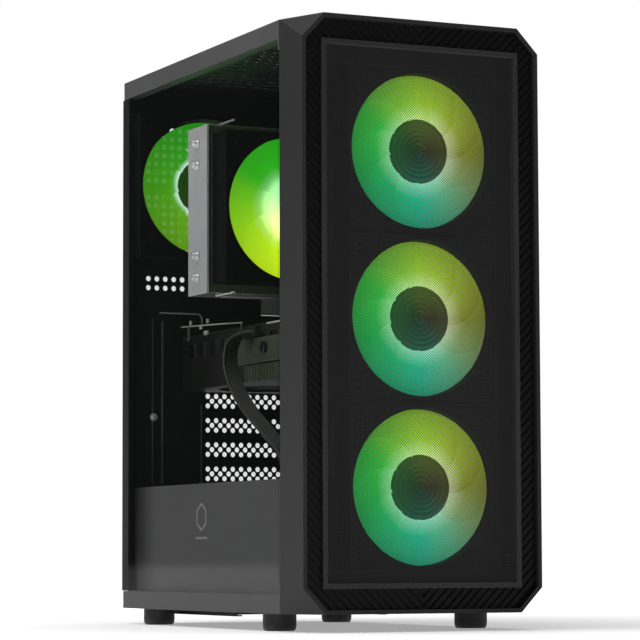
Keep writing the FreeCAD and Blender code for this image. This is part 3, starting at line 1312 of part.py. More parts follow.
def screw(axis_sign, x, y, z, shank):
    """Pan-head screw along Y; the shank runs from y against the head side."""
    head_y = f"({y})" if axis_sign > 0 else f"({y}) - 1.8"
    shank_y = f"({y}) - {shank}" if axis_sign > 0 else y
    head = rod("y", x, head_y, z, "3.1", "1.8")
    stem = rod("y", x, shank_y, z, "1.9", shank)
    slot = block(f"({x}) - 2", f"({x}) + 2", f"({y}) + 0.9 * {axis_sign} - 0.6",
                 f"({y}) + 0.9 * {axis_sign} + 0.6 + {axis_sign} * 0.6", f"({z}) - 0.5",
                 f"({z}) + 0.5")
    screws.append(carve(fuse([head, stem]), [slot]))


for fan_z in fan_heights:
    for sx in (-1, 1):
        for sz in (-1, 1):
            screw(1, f"dims.fan_shift + {sx} * dims.fan_size * 0.4375", "place.wall + 1.2",
                  f"{fan_z} + {sz} * dims.fan_size * 0.4375", "9")
for sx in (-1, 1):
    for sz in (-1, 1):
        screw(1, f"place.rear_fan_x + {sx} * dims.fan_size * 0.4375", "place.rear",
              f"place.rear_fan_height + {sz} * dims.fan_size * 0.4375", "9")
name_it(bundle(screws), "fan_screws")

# -------------------------------------------------------------------- export
doc.recompute()
for item in doc.Objects:
    faults = [word for word in item.State if word in ("Invalid", "Error")]
    if faults:
        raise RuntimeError(f"{item.Name} ({item.Label}): {faults}")
for item in SUB_PARTS:
    if item.Shape.isNull() or not item.Shape.isValid():
        raise RuntimeError(f"bad shape: {item.Label}")
    item.Shape.exportStep(f"parts/{item.Label}.step")
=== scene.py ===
import math

import bmesh
import bpy
from mathutils import Matrix, Vector


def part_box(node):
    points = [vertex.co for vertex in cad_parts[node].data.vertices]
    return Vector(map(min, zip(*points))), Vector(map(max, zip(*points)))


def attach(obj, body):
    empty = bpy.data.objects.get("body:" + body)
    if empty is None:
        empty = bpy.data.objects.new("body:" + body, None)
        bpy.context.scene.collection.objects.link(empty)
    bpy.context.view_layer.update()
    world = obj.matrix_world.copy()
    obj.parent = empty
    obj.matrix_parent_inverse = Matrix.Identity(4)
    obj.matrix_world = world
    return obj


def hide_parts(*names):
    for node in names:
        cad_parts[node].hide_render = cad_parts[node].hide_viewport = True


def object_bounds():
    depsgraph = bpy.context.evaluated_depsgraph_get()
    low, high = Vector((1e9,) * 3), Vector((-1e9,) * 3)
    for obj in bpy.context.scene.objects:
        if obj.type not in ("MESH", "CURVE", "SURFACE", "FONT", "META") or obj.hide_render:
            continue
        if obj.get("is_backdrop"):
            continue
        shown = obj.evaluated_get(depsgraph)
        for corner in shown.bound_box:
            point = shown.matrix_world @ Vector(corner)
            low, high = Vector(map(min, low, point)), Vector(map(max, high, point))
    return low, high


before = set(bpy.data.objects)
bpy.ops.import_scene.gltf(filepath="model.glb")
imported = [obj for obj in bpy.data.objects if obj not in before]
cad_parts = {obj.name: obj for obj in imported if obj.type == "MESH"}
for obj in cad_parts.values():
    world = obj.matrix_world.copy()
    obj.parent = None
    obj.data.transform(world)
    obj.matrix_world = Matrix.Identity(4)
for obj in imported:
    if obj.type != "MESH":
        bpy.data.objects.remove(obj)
cad_low, cad_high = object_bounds()

scene = bpy.context.scene
scene.view_settings.view_transform = "Standard"

MM = 1000.0



# ------------------------------------------------------------------ materials
class Graph:
    """Small helper that builds one node material."""

    def __init__(self, name):
        self.material = bpy.data.materials.new(name)
        self.material.use_nodes = True
        self.tree = self.material.node_tree
        self.shader = self.tree.nodes["Principled BSDF"]
        coords = self.tree.nodes.new("ShaderNodeTexCoord")
        self.place = coords.outputs["Object"]

    def node(self, kind, **inputs):
        item = self.tree.nodes.new(kind)
        for key, value in inputs.items():
            socket = item.inputs[int(key[1:])] if key[0] == "_" else item.inputs[key]
            if isinstance(value, bpy.types.NodeSocket):
                self.tree.links.new(value, socket)
            else:
                socket.default_value = value
        return item

    def maths(self, operation, first, second=0.0, clamp=False):
        item = self.node("ShaderNodeMath", _0=first, _1=second)
        item.operation = operation
        item.use_clamp = clamp
        return item.outputs[0]

    def noise(self, scale, detail=3.0, rough=0.55, stretch=None):
        vector = self.place
        if stretch:
            mapping = self.node("ShaderNodeMapping", Vector=vector, Scale=stretch)
            vector = mapping.outputs[0]
        item = self.node("ShaderNodeTexNoise", Vector=vector, Scale=scale, Detail=detail,
                         Roughness=rough)
        return item.outputs["Fac"]

    def ramp(self, value, stops):
        item = self.node("ShaderNodeValToRGB", Fac=value)
        band = item.color_ramp
        while len(band.elements) < len(stops):
            band.elements.new(0.5)
        for element, (at, colour) in zip(band.elements, stops):
            element.position = at
            element.color = (*colour, 1.0)
        return item.outputs["Color"]

    def spread(self, value, low, high):
        item = self.node("ShaderNodeMapRange", Value=value)
        item.inputs["To Min"].default_value = low
        item.inputs["To Max"].default_value = high
        return item.outputs[0]

    def blend(self, amount, first, second, how="MIX"):
        item = self.tree.nodes.new("ShaderNodeMix")
        item.data_type = "RGBA"
        item.blend_type = how
        for socket, value in ((item.inputs[0], amount), (item.inputs[6], first),
                              (item.inputs[7], second)):
            if isinstance(value, bpy.types.NodeSocket):
                self.tree.links.new(value, socket)
            else:
                socket.default_value = (*value, 1.0) if isinstance(value, tuple) else value
        return item.outputs[2]

    def edges(self, radius=0.0006, gain=6.0):
        """Mask that is 1 along sharp edges and 0 on flat faces."""
        bevel = self.node("ShaderNodeBevel", Radius=radius)
        bevel.samples = 4
        geometry = self.tree.nodes.new("ShaderNodeNewGeometry")
        dot = self.node("ShaderNodeVectorMath", _0=bevel.outputs[0], _1=geometry.outputs["Normal"])
        dot.operation = "DOT_PRODUCT"
        gap = self.maths("SUBTRACT", 1.0, dot.outputs["Value"])
        return self.maths("MULTIPLY", gap, gain, clamp=True)

    def feed(self, socket, value):
        if isinstance(value, bpy.types.NodeSocket):
            self.tree.links.new(value, self.shader.inputs[socket])
        else:
            self.shader.inputs[socket].default_value = (
                (*value, 1.0) if isinstance(value, tuple) else value)

    def bump(self, height, strength, distance=0.0003):
        item = self.node("ShaderNodeBump", Height=height, Strength=strength, Distance=distance)
        self.feed("Normal", item.outputs[0])


def coated(name, colour, rough=0.42, grain=2600.0, depth=0.25, edge_scuff_and_highlight=None, metal=0.0,
           gloss=0.5, fade=None):
    """Powder coat or moulded plastic: fine grain, cloudy tone, lighter edges.

    A fade (y where it starts, y where it ends, share of the tone left) darkens it along y.
    """
    g = Graph(name)
    cloud = g.noise(9.0, 4.0)
    fine = g.noise(grain, 2.0, 0.6)
    dark = tuple(c * 0.82 for c in colour)
    pale = tuple(min(1.0, c * 1.18 + 0.002) for c in colour)
    tone = g.blend(cloud, dark, pale)
    # Edges are painted lighter: partly wear, partly painted highlight.
    scuff_and_highlight_tone = edge_scuff_and_highlight if edge_scuff_and_highlight else tuple(min(1.0, c * 2.2 + 0.015) for c in colour)
    scuff_and_highlight_mask = g.maths("MULTIPLY", g.edges(), g.spread(g.noise(130.0), 0.25, 1.0), clamp=True)
    paint = g.blend(scuff_and_highlight_mask, tone, scuff_and_highlight_tone)
    # Painted shade: the tone is darkened along y.
    if fade:
        split = g.node("ShaderNodeSeparateXYZ", Vector=g.place)
        drop = g.node("ShaderNodeMapRange", Value=split.outputs[1])
        drop.inputs["From Min"].default_value = fade[0]
        drop.inputs["From Max"].default_value = fade[1]
        drop.inputs["To Min"].default_value = 1.0
        drop.inputs["To Max"].default_value = fade[2]
        dim = g.node("ShaderNodeVectorMath", _0=paint)
        dim.operation = "SCALE"
        g.tree.links.new(drop.outputs[0], dim.inputs["Scale"])
        paint = dim.outputs[0]
    g.feed("Base Color", paint)
    g.feed("Roughness", g.spread(g.maths("ADD", g.maths("MULTIPLY", cloud, 0.5),
                                         g.maths("MULTIPLY", fine, 0.5)),
                                 rough - 0.1, rough + 0.12))
    g.shader.inputs["Metallic"].default_value = metal
    g.shader.inputs["Specular IOR Level"].default_value = gloss
    g.bump(fine, depth, 0.00012)
    return g.material


def brushed(name, colour, rough=0.3, stretch=(1.0, 1.0, 60.0), scale=80.0):
    """Metal with fine brush lines along one direction."""
    g = Graph(name)
    lines = g.noise(scale, 5.0, 0.65, stretch)
    cloud = g.noise(14.0)
    tone = g.blend(lines, tuple(c * 0.78 for c in colour), tuple(min(1.0, c * 1.1) for c in colour))
    tone = g.blend(g.maths("MULTIPLY", cloud, 0.35), tone, tuple(c * 0.7 for c in colour))
    # Edges are painted 25% lighter: painted highlight.
    g.feed("Base Color", g.blend(g.edges(), tone, tuple(min(1.0, c * 1.25) for c in colour)))
    g.feed("Roughness", g.spread(lines, rough - 0.08, rough + 0.14))
    g.shader.inputs["Metallic"].default_value = 1.0
    g.bump(lines, 0.2, 0.0001)
    return g.material


def rubbery(name, colour):
    """Dusty rubber or cable sleeve with a fine grain."""
    g = Graph(name)
    fine = g.noise(1800.0, 3.0)
    dust = g.noise(35.0, 5.0, 0.7)
    g.feed("Base Color", g.blend(g.maths("MULTIPLY", dust, 0.3), colour,
                                 tuple(c + 0.03 for c in colour)))
    g.feed("Roughness", g.spread(dust, 0.38, 0.62))
    g.bump(fine, 0.3, 0.0002)
    return g.material


def circuit(name):
    """Black solder mask with faint traces and pads."""
    g = Graph(name)
    cells = g.node("ShaderNodeTexVoronoi", Vector=g.place, Scale=260.0)
    cells.distance = "MANHATTAN"
    brick = g.node("ShaderNodeTexBrick", Vector=g.place, Scale=90.0)
    brick.inputs["Mortar Size"].default_value = 0.04
    trace = g.maths("LESS_THAN", cells.outputs["Distance"], 0.16)
    pads = g.maths("MULTIPLY", trace, g.spread(g.noise(40.0), 0.0, 1.0))
    base = g.blend(brick.outputs["Fac"], (0.004, 0.005, 0.005), (0.010, 0.012, 0.011))
    g.feed("Base Color", g.blend(pads, base, (0.07, 0.065, 0.05)))
    g.feed("Roughness", g.spread(g.noise(60.0), 0.28, 0.5))
    g.bump(brick.outputs["Fac"], 0.25, 0.0002)
    return g.material


def tinted_glass(name):
    """Dark, mostly clear glass that turns opaque along its edges."""
    g = Graph(name)
    smear = g.noise(11.0, 5.0, 0.6)
    g.feed("Base Color", g.blend(smear, (0.004, 0.005, 0.005), (0.010, 0.012, 0.012)))
    g.feed("Roughness", g.spread(smear, 0.02, 0.07))
    g.feed("Alpha", g.spread(g.edges(0.0012, 3.0), 0.16, 0.75))
    g.shader.inputs["IOR"].default_value = 1.5
    return g.material


def polar(g, centre):
    """Angle 0..1 (0 at the top, clockwise from the front) and radius in mm."""
    split = g.node("ShaderNodeSeparateXYZ", Vector=g.place)
    dx = g.maths("SUBTRACT", split.outputs[0], centre[0])
    dz = g.maths("SUBTRACT", split.outputs[2], centre[2])
    angle = g.maths("ARCTAN2", dx, dz)
    turn = g.maths("FRACT", g.maths("ADD", g.maths("DIVIDE", angle, 2 * math.pi), 1.0))
    length = g.maths("SQRT", g.maths("ADD", g.maths("MULTIPLY", dx, dx),
                                     g.maths("MULTIPLY", dz, dz)))
    return turn, g.maths("MULTIPLY", length, 1000.0)


FAN_REACH = 60.0
HUB_EDGE = 24.0


def lit(name, centre, wheel, strength, falls, core=(0.9, 1.0, 0.9), clear=0.0, rings=0.0,
        white=0.2, reach=36.0):
    """Fan plastic lit from its hub.

    wheel gives the hue by share of a turn, falls the strength by radius in mm. core is mixed in
    beside the hub, by the share white, out to reach in mm. clear is the share of light let
    through, and rings the spacing of faint rings in mm.
    """
    g = Graph(name)
    turn, radius = polar(g, centre)
    hue = g.ramp(turn, wheel)
    share = g.maths("DIVIDE", radius, FAN_REACH)
    level = g.ramp(share, [(at / FAN_REACH, (value, value, value)) for at, value in falls])
    halo = g.node("ShaderNodeMapRange", Value=radius)
    halo.inputs["From Min"].default_value = HUB_EDGE
    halo.inputs["From Max"].default_value = reach
    halo.inputs["To Min"].default_value = 0.0 if rings else white
    halo.inputs["To Max"].default_value = 0.0
    colour = g.blend(halo.outputs[0], hue, core)
    power = g.maths("MULTIPLY", level, strength)
    if rings:
        wave = g.maths("SINE", g.maths("MULTIPLY", radius, 2 * math.pi / rings))
        power = g.maths("MULTIPLY", power, g.spread(wave, 0.75, 1.1))
    mottle = g.spread(g.noise(240.0), 0.95, 1.05)
    g.feed("Base Color", g.blend(0.85, hue, (0.01, 0.012, 0.01)))
    g.feed("Roughness", g.spread(g.noise(300.0), 0.35, 0.5))
    g.feed("Emission Color", colour)
    g.feed("Emission Strength", g.maths("MULTIPLY", power, mottle))
    g.shader.inputs["Specular IOR Level"].default_value = 0.2
    g.shader.inputs["Alpha"].default_value = 1.0 - clear
    g.bump(g.noise(900.0), 0.05, 0.0001)
    return g.material


STEEL = coated("steel_black", (0.003, 0.003, 0.003), 0.55, 2600.0, 0.25, (0.02, 0.02, 0.02), gloss=0.25)
PANEL = coated("panel_black", (0.016, 0.016, 0.017), 0.42, 2600.0, 0.08)
# Black steel rails given a grey tone as painted sheen.
RAIL_PAINTED_SHEEN = coated("rail_painted_sheen", (0.055, 0.055, 0.056), 0.46)
# The shroud's rear end is darkened along y: painted shade.
SHROUD = coated("shroud_grey", (0.085, 0.085, 0.085), 0.5, fade=(0.112, 0.142, 0.04))
BEZEL = coated("bezel_plastic", (0.021, 0.021, 0.022), 0.45, 1900.0, 0.35, (0.05, 0.05, 0.052), gloss=0.2)
RIBS = coated("rib_plastic", (0.004, 0.004, 0.004), 0.34, 1900.0, 0.3, (0.05, 0.05, 0.052), gloss=0.12)
# Edges painted pale (0.12) as the rim's thin highlight: painted highlight.
RIM = coated("rim_plastic", (0.022, 0.022, 0.023), 0.4, 1900.0, 0.3, (0.12, 0.12, 0.12), gloss=0.3)
FAN = coated("fan_plastic", (0.002, 0.002, 0.002), 0.55, 1500.0, 0.25, (0.02, 0.02, 0.021), gloss=0.08)
SOCKET = coated("socket_plastic", (0.012, 0.012, 0.013), 0.5, 1500.0)
CARD = coated("card_plastic", (0.005, 0.006, 0.004), 0.42, 1500.0, 0.25, (0.07, 0.08, 0.06), gloss=0.3)
OLIVE = coated("card_trim", (0.055, 0.065, 0.032), 0.5, 1500.0, 0.3, (0.2, 0.22, 0.14))
PALE_PARTS_AND_EDGE_HIGHLIGHT = coated("pale_parts_and_edge_highlight", (0.42, 0.43, 0.37), 0.4, 1500.0, 0.2)
DULL_PARTS_AND_FOLD_HIGHLIGHT = coated("dull_parts_and_fold_highlight", (0.07, 0.075, 0.06), 0.45, 1500.0, 0.2)
INLET = coated("inlet_plastic", (0.012, 0.012, 0.012), 0.5, 1500.0)
BUTTON = coated("button_plastic", (0.03, 0.03, 0.032), 0.28, 1500.0, 0.1)
BLACK_SCREW = coated("screw_black", (0.01, 0.01, 0.01), 0.3, 900.0, 0.3, (0.2, 0.2, 0.2), 0.5)
# Black mesh steel lightened to stand in for the wires' highlights: painted highlight.
MESH_STEEL_AND_HIGHLIGHT = coated("mesh_steel", (0.040, 0.040, 0.042), 0.4, 1200.0, 0.2, (0.12, 0.12, 0.122), gloss=0.3)
EMBLEM = coated("emblem_paint", (0.34, 0.34, 0.35), 0.4, 1500.0, 0.15)
ALLOY = brushed("fin_aluminium", (0.62, 0.62, 0.64), 0.38)
CAP = coated("cap_aluminium", (0.52, 0.52, 0.53), 0.4, 900.0, 0.3, (0.8, 0.8, 0.8))
NICKEL = coated("nickel", (0.80, 0.80, 0.81), 0.18, 500.0, 0.15, (0.95, 0.95, 0.95), 0.35)
ZINC = coated("zinc_wire", (0.66, 0.67, 0.69), 0.24, 900.0, 0.15, (0.9, 0.9, 0.9), 0.4)
SINK = brushed("dark_sink", (0.06, 0.06, 0.065), 0.4, (1.0, 1.0, 40.0))
RUBBER = rubbery("foot_rubber", (0.008, 0.008, 0.008))
SLEEVE = rubbery("cable_sleeve", (0.010, 0.011, 0.007))
BOARD = circuit("board_mask")
GLASS = tinted_glass("tinted_glass")

DRESS = {
    "chassis_floor": STEEL, "frame_rails": RAIL_PAINTED_SHEEN, "feet": RUBBER, "motherboard_tray": STEEL,
    "front_wall": STEEL, "top_panel": PANEL, "psu_shroud": SHROUD, "shroud_emblem": EMBLEM,
    "rear_panel": STEEL, "slot_brackets": STEEL, "rear_ports": ZINC, "front_bezel": BEZEL,
    "bezel_ribs": RIBS, "mesh_rim": RIM, "front_mesh": MESH_STEEL_AND_HIGHLIGHT, "io_panel": BEZEL,
    "io_ports": NICKEL, "power_button": BUTTON, "reset_button": BUTTON, "motherboard": BOARD,
    "board_sockets": SOCKET, "memory_modules": SINK, "board_heatsinks": SINK,
    "cooler_fins": ALLOY, "cooler_cap": CAP, "cooler_heat_pipes": NICKEL, "cooler_base": NICKEL,
    "cooler_fan_clips": ZINC, "gpu_board": BOARD, "gpu_backplate": CARD, "gpu_shroud": CARD,
    "gpu_heatsink": ALLOY, "gpu_fan_rotor_front": FAN, "gpu_fan_rotor_rear": FAN,
    "gpu_power_cable": SLEEVE, "psu_case": STEEL, "psu_fan_rotor": FAN, "psu_inlet": INLET,
    "psu_switch": BUTTON, "glass_panel": GLASS, "glass_flange": STEEL, "right_side_panel": PANEL,
    "thumbscrew_left_top": BLACK_SCREW, "thumbscrew_left_bottom": BLACK_SCREW,
    "thumbscrew_right_top": BLACK_SCREW, "thumbscrew_right_bottom": BLACK_SCREW,
    "top_dust_filter": FAN, "psu_dust_filter": FAN, "drive_cage": STEEL,
    "fan_screws": BLACK_SCREW, "front_fan_frame_top": FAN, "front_fan_frame_middle": FAN,
    "front_fan_frame_bottom": FAN, "rear_fan_frame": FAN, "cooler_fan_frame": FAN,
}
for node, material in DRESS.items():
    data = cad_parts[node].data
    data.materials.clear()
    data.materials.append(material)


# --------------------------------------------------------------- piece making
def piece(name, mesh, materials, body, *nodes):
    """Object that rides a body and stands in for the named nodes of the frame."""
    item = bpy.data.objects.new(name, mesh)
    scene.collection.objects.link(item)
    for material in materials:
        mesh.materials.append(material)
    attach(item, body)
    if nodes:
        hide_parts(*nodes)
    return item


def finished(bm, name):
    """Mesh made from a finished bmesh."""
    mesh = bpy.data.meshes.new(name)
    bm.to_mesh(mesh)
    bm.free()
    return mesh


def middle_of(node):
    low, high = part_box(node)
    return tuple((low[i] + high[i]) / 2 for i in range(3))


# The two axes across and the one along, for each turning axis.
AXES = {"x": (1, 2, 0), "y": (2, 0, 1), "z": (0, 1, 2)}
KNURL_FROM = 0.0055


def lathe(bm, centre, profile, steps, slot, axis="y", teeth=0.0):
    """Rings round an axis, from (radius, depth) pairs; teeth are cut where the radius is large."""
    first_axis, second_axis, along = AXES[axis]
    rings = []
    for radius, depth in profile:
        ring = []
        for step in range(steps):
            turn = 2 * math.pi * step / steps
            size = radius - (teeth if step % 2 and radius > KNURL_FROM else 0.0)
            spot = [0.0, 0.0, 0.0]
            spot[first_axis] = centre[first_axis] + size * math.cos(turn)
            spot[second_axis] = centre[second_axis] + size * math.sin(turn)
            spot[along] = centre[along] + depth
            ring.append(bm.verts.new(spot))
        rings.append(ring)
    for first, second in zip(rings, rings[1:]):
        for step in range(steps):
            after = (step + 1) % steps
            face = bm.faces.new((first[step], second[step], second[after], first[after]))
            face.material_index = slot
            face.smooth = teeth == 0.0
    return rings


def turned(name, centre, profile, material, body, *nodes, axis="y", steps=48, teeth=0.0):
    """Closed turned piece with capped ends."""
    bm = bmesh.new()
    rings = lathe(bm, centre, profile, steps, 0, axis, teeth)
    bm.faces.new(rings[0])
    bm.faces.new(rings[-1][::-1])
    return piece(name, finished(bm, name), [material], body, *nodes)


def slab(name, low, high, material, body, round_off=0.0003):
    """Rounded bar between two opposite corners given in millimetres."""
    bm = bmesh.new()
    bmesh.ops.create_cube(bm, size=1.0)
    for vert in bm.verts:
        for k in range(3):
            middle = (low[k] + high[k]) / 2 / MM
            wide = abs(high[k] - low[k]) / MM
            vert.co[k] = middle + vert.co[k] * wide
    bmesh.ops.bevel(bm, geom=bm.edges[:], offset=round_off, segments=2, affect="EDGES",
                    clamp_overlap=True)
    return piece(name, finished(bm, name), [material], body)


def strand(name, points, radius, material, body, *nodes, roundness=3):
    """Round strand along a smooth curve through points given in millimetres."""
    curve = bpy.data.curves.new(name, "CURVE")
    curve.dimensions = "3D"
    curve.bevel_depth = radius / MM
    curve.bevel_resolution = roundness
    curve.use_fill_caps = True
    spline = curve.splines.new("BEZIER")
    spline.bezier_points.add(len(points) - 1)
    for knot, spot in zip(spline.bezier_points, points):
        knot.co = [value / MM for value in spot]
        knot.handle_left_type = knot.handle_right_type = "AUTO"
    holder = bpy.data.objects.new(name + "_path", curve)
    mesh = bpy.data.meshes.new_from_object(holder)
    mesh.name = name
    bpy.data.objects.remove(holder)
    mesh.polygons.foreach_set("use_smooth", [True] * len(mesh.polygons))
    return piece(name, mesh, [material], body, *nodes)


BLADE_COUNT = 9
BLADE_THICKNESS = 0.0014
BLADE_FRONT = 0.06
BLADE_RAKE = 0.24
BLADE_SWEEP = 0.5
ROTOR_SHARE = 0.86
HUB_GROOVES = 5
HUB_OVERLAP = 0.0008


def rotor_hub(bm, centre, hub, depth):
    """Cup with a small boss and ring-shaped grooves; its rim takes the lit plastic."""
    profile = [(0.0004, 0.0006), (0.0035, 0.0005), (0.0042, 0.0012)]
    wide = (hub - 0.0065) / HUB_GROOVES
    for groove in range(HUB_GROOVES):
        start = 0.0052 + groove * wide
        profile += [(start, 0.0012), (start + wide * 0.2, 0.0003), (start + wide * 0.6, 0.0003),
                    (start + wide * 0.8, 0.0014)]
    profile += [(hub - 0.0008, 0.0006), (hub, 0.0022), (hub, depth)]
    rings = lathe(bm, centre, profile, 64, 1)
    for face in bm.faces:
        if min((v.co - Vector(centre)).xz.length for v in face.verts) > hub - 0.0001:
            face.material_index = 0
    bm.faces.new(rings[0]).material_index = 1
    bm.faces.new(rings[-1][::-1]).material_index = 1


def rotor_blade(bm, centre, hub, tip, depth, base):
    """Swept and raked blade with a front and a back skin and closed borders."""
    across, along = 9, 8
    root = hub - HUB_OVERLAP
    skins = []
    for thick in (0.0, BLADE_THICKNESS):
        grid = []
        for i in range(across + 1):
            share = i / across
            radius = root + (tip - root) * share
            sweep = base - BLADE_SWEEP * share ** 1.5
            chord = (0.98 + 0.1 * share) * 2 * math.pi / BLADE_COUNT
            row = []
            for j in range(along + 1):
                run = j / along
                turn = sweep + chord * (run - 0.5) + thick / radius
                fall = BLADE_FRONT + BLADE_RAKE * run
                row.append(bm.verts.new((centre[0] + radius * math.sin(turn),
                                         centre[1] + depth * fall + thick * 0.6,
                                         centre[2] + radius * math.cos(turn))))
            grid.append(row)
        skins.append(grid)
    front, back = skins
    for i in range(across):
        for j in range(along):
            for grid, flip in ((front, False), (back, True)):
                corners = [grid[i][j], grid[i + 1][j], grid[i + 1][j + 1], grid[i][j + 1]]
                face = bm.faces.new(corners[::-1] if flip else corners)
                face.smooth = True
    for i in range(across):
        for j, flip in ((0, True), (along, False)):
            corners = [front[i][j], front[i + 1][j], back[i + 1][j], back[i][j]]
            bm.faces.new(corners if flip else corners[::-1])
    for j in range(along):
        for i, flip in ((0, False), (across, True)):
            corners = [front[i][j], front[i][j + 1], back[i][j + 1], back[i][j]]
            bm.faces.new(corners if flip else corners[::-1])


def fan_rotor(name, node, body, hub, lit_material, hub_material):
    """Axial fan rotor: ringed hub cap, tip ring and curved, twisted blades."""
    low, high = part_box(node)
    centre = ((low[0] + high[0]) / 2, low[1], (low[2] + high[2]) / 2)
    depth = (high[1] - low[1]) * ROTOR_SHARE
    tip = max(high[0] - low[0], high[2] - low[2]) / 2
    bm = bmesh.new()
    rotor_hub(bm, centre, hub, depth)
    lathe(bm, centre, [(tip - 0.0014, 0.0012), (tip - 0.0004, 0.001), (tip, 0.0016),
                       (tip, 0.0052), (tip - 0.0014, 0.0052), (tip - 0.0014, 0.0012)], 96, 0)
    for blade in range(BLADE_COUNT):
        rotor_blade(bm, centre, hub, tip, depth, 2 * math.pi * blade / BLADE_COUNT)
    return piece(name, finished(bm, name), [lit_material, hub_material], body, node)


def glow_plate(name, frame_node, body, hub, tip, material, back):
    """Thin light-spreading ring behind the blades, back metres before the frame's rear face."""
    low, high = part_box(frame_node)
    centre = ((low[0] + high[0]) / 2, high[1] - back, (low[2] + high[2]) / 2)
    bm = bmesh.new()
    profile = [(hub, 0.0), (hub + 0.004, -0.0004), (tip - 0.003, -0.0004), (tip, 0.0),
               (tip, 0.0006), (hub, 0.0006), (hub, 0.0)]
    lathe(bm, centre, profile, 96, 0)
    bmesh.ops.remove_doubles(bm, verts=bm.verts, dist=1e-7)
    return piece(name, finished(bm, name), [material], body)


# ---------------------------------------------------------------------- fans
FRONT_WHEEL = [(0.0, (0.29, 0.55, 0.025)), (0.083, (0.31, 0.47, 0.025)), (0.167, (0.27, 0.34, 0.02)),
               (0.25, (0.19, 0.22, 0.01)), (0.333, (0.19, 0.31, 0.11)), (0.417, (0.08, 0.42, 0.23)),
               (0.5, (0.005, 0.44, 0.25)), (0.583, (0.005, 0.41, 0.16)), (0.7, (0.005, 0.39, 0.065)),
               (0.833, (0.03, 0.46, 0.04)), (0.917, (0.17, 0.49, 0.03)), (1.0, (0.29, 0.55, 0.025))]
FRONT_FALL = [(0.0, 1.15), (24.5, 1.15), (33.0, 0.98), (45.0, 0.74), (56.0, 0.52)]
FRONT_HUB_FALL = [(0.0, 0.03), (8.0, 0.05), (16.0, 0.11), (24.0, 0.13)]
HUB_RADIUS = 0.024
PLATE_HOLE = 0.0245
PLATE_RADIUS = 0.0572
PLATE_BACK = 0.0155
for place in ("top", "middle", "bottom"):
    centre = middle_of(f"front_fan_frame_{place}")
    glow = lit(f"front_fan_light_{place}", centre, FRONT_WHEEL, 1.3, FRONT_FALL)
    hub_tone = lit(f"front_hub_light_{place}", centre, FRONT_WHEEL, 1.4, FRONT_HUB_FALL, rings=4.2)
    fan_rotor(f"front_fan_wheel_{place}", f"front_fan_rotor_{place}", f"front_fan_{place}",
              HUB_RADIUS, glow, hub_tone)
    glow_plate(f"front_fan_diffuser_{place}", f"front_fan_frame_{place}", "chassis",
               PLATE_HOLE, PLATE_RADIUS, glow, PLATE_BACK)

REAR_WHEEL = [(0.0, (0.01, 0.34, 0.01)), (0.25, (0.03, 0.36, 0.01)), (0.5, (0.16, 0.42, 0.005)),
              (0.75, (0.06, 0.36, 0.005)), (1.0, (0.01, 0.34, 0.01))]
REAR_FALL = [(0.0, 1.0), (24.0, 1.0), (30.0, 0.9), (56.0, 0.7)]
rear_centre = middle_of("rear_fan_frame")
rear_glow = lit("rear_fan_light", rear_centre, REAR_WHEEL, 1.3, REAR_FALL, (0.75, 1.0, 0.9), 0.22,
                white=0.9, reach=29.0)
rear_hub_tone = lit("rear_hub_light", rear_centre, REAR_WHEEL, 0.12, REAR_FALL, white=0.0)
fan_rotor("rear_fan_wheel", "rear_fan_rotor", "rear_fan", HUB_RADIUS, rear_glow, rear_hub_tone)

COOLER_WHEEL = [(0.0, (0.02, 0.42, 0.01)), (0.2, (0.10, 0.50, 0.01)), (0.4, (0.50, 0.85, 0.01)),
                (0.55, (0.60, 0.92, 0.01)), (0.72, (0.25, 0.62, 0.01)), (0.85, (0.03, 0.42, 0.01)),
                (1.0, (0.02, 0.42, 0.01))]
COOLER_FALL = [(0.0, 2.4), (22.0, 2.2), (30.0, 1.05), (56.0, 0.8)]
cooler_glow = lit("cooler_fan_light", middle_of("cooler_fan_frame"), COOLER_WHEEL, 1.3, COOLER_FALL,
                  (1.0, 1.0, 1.0))
fan_rotor("cooler_fan_wheel", "cooler_fan_rotor", "cooler_fan", HUB_RADIUS, cooler_glow, cooler_glow)
glow_plate("cooler_fan_diffuser", "cooler_fan_frame", "chassis", PLATE_HOLE, PLATE_RADIUS,
           cooler_glow, PLATE_BACK)


# ---------------------------------------------------------------- front mesh
def lattice(name, first, last, rows, columns, hole, body, *nodes):
    """Fine sheet of staggered diamond holes between two rows of the whole sheet."""
    low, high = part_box("front_mesh")
    x0, x1, y = low[0], high[0], low[1] + 0.0002
    step_x = (x1 - x0) / columns
    step_z = (high[2] - low[2]) / rows
    z0 = low[2]
    verts, faces, index = [], [], {}

    def corner(u, v):
        key = (round(u * 4), round(v * 4))
        if key not in index:
            index[key] = len(verts)
            verts.append((x0 + u * step_x, y, z0 + v * step_z))
        return index[key]

    reach = hole / 2
    for row in range(first * 2, last * 2 - (1 if last == rows else 0)):
        odd = row % 2
        v = row * 0.5 + 0.5
        for column in range(columns - odd):
            u = column + 0.5 + odd * 0.5
            outer = [corner(u + 0.5, v), corner(u, v + 0.5), corner(u - 0.5, v),
                     corner(u, v - 0.5)]
            start = len(verts)
            for dx, dz in ((reach, 0), (0, reach), (-reach, 0), (0, -reach)):
                verts.append((x0 + (u + dx) * step_x, y, z0 + (v + dz) * step_z))
            for side in range(4):
                after = (side + 1) % 4
                faces.append((outer[side], outer[after], start + after, start + side))
        if odd:
            faces.append((corner(0, v - 0.5), corner(0.5, v), corner(0, v + 0.5)))
            faces.append((corner(columns, v + 0.5), corner(columns - 0.5, v),
                          corner(columns, v - 0.5)))
    for column in range(columns + 1):
        left, right_end = max(column - 0.5, 0), min(column + 0.5, columns)
        if first == 0:
            faces.append((corner(left, 0), corner(right_end, 0), corner(column, 0.5)))
        if last == rows:
            faces.append((corner(left, rows), corner(column, rows - 0.5), corner(right_end, rows)))
    mesh = bpy.data.meshes.new(name)
    mesh.from_pydata(verts, [], faces)
    return piece(name, mesh, [MESH_STEEL_AND_HIGHLIGHT], body, *nodes)


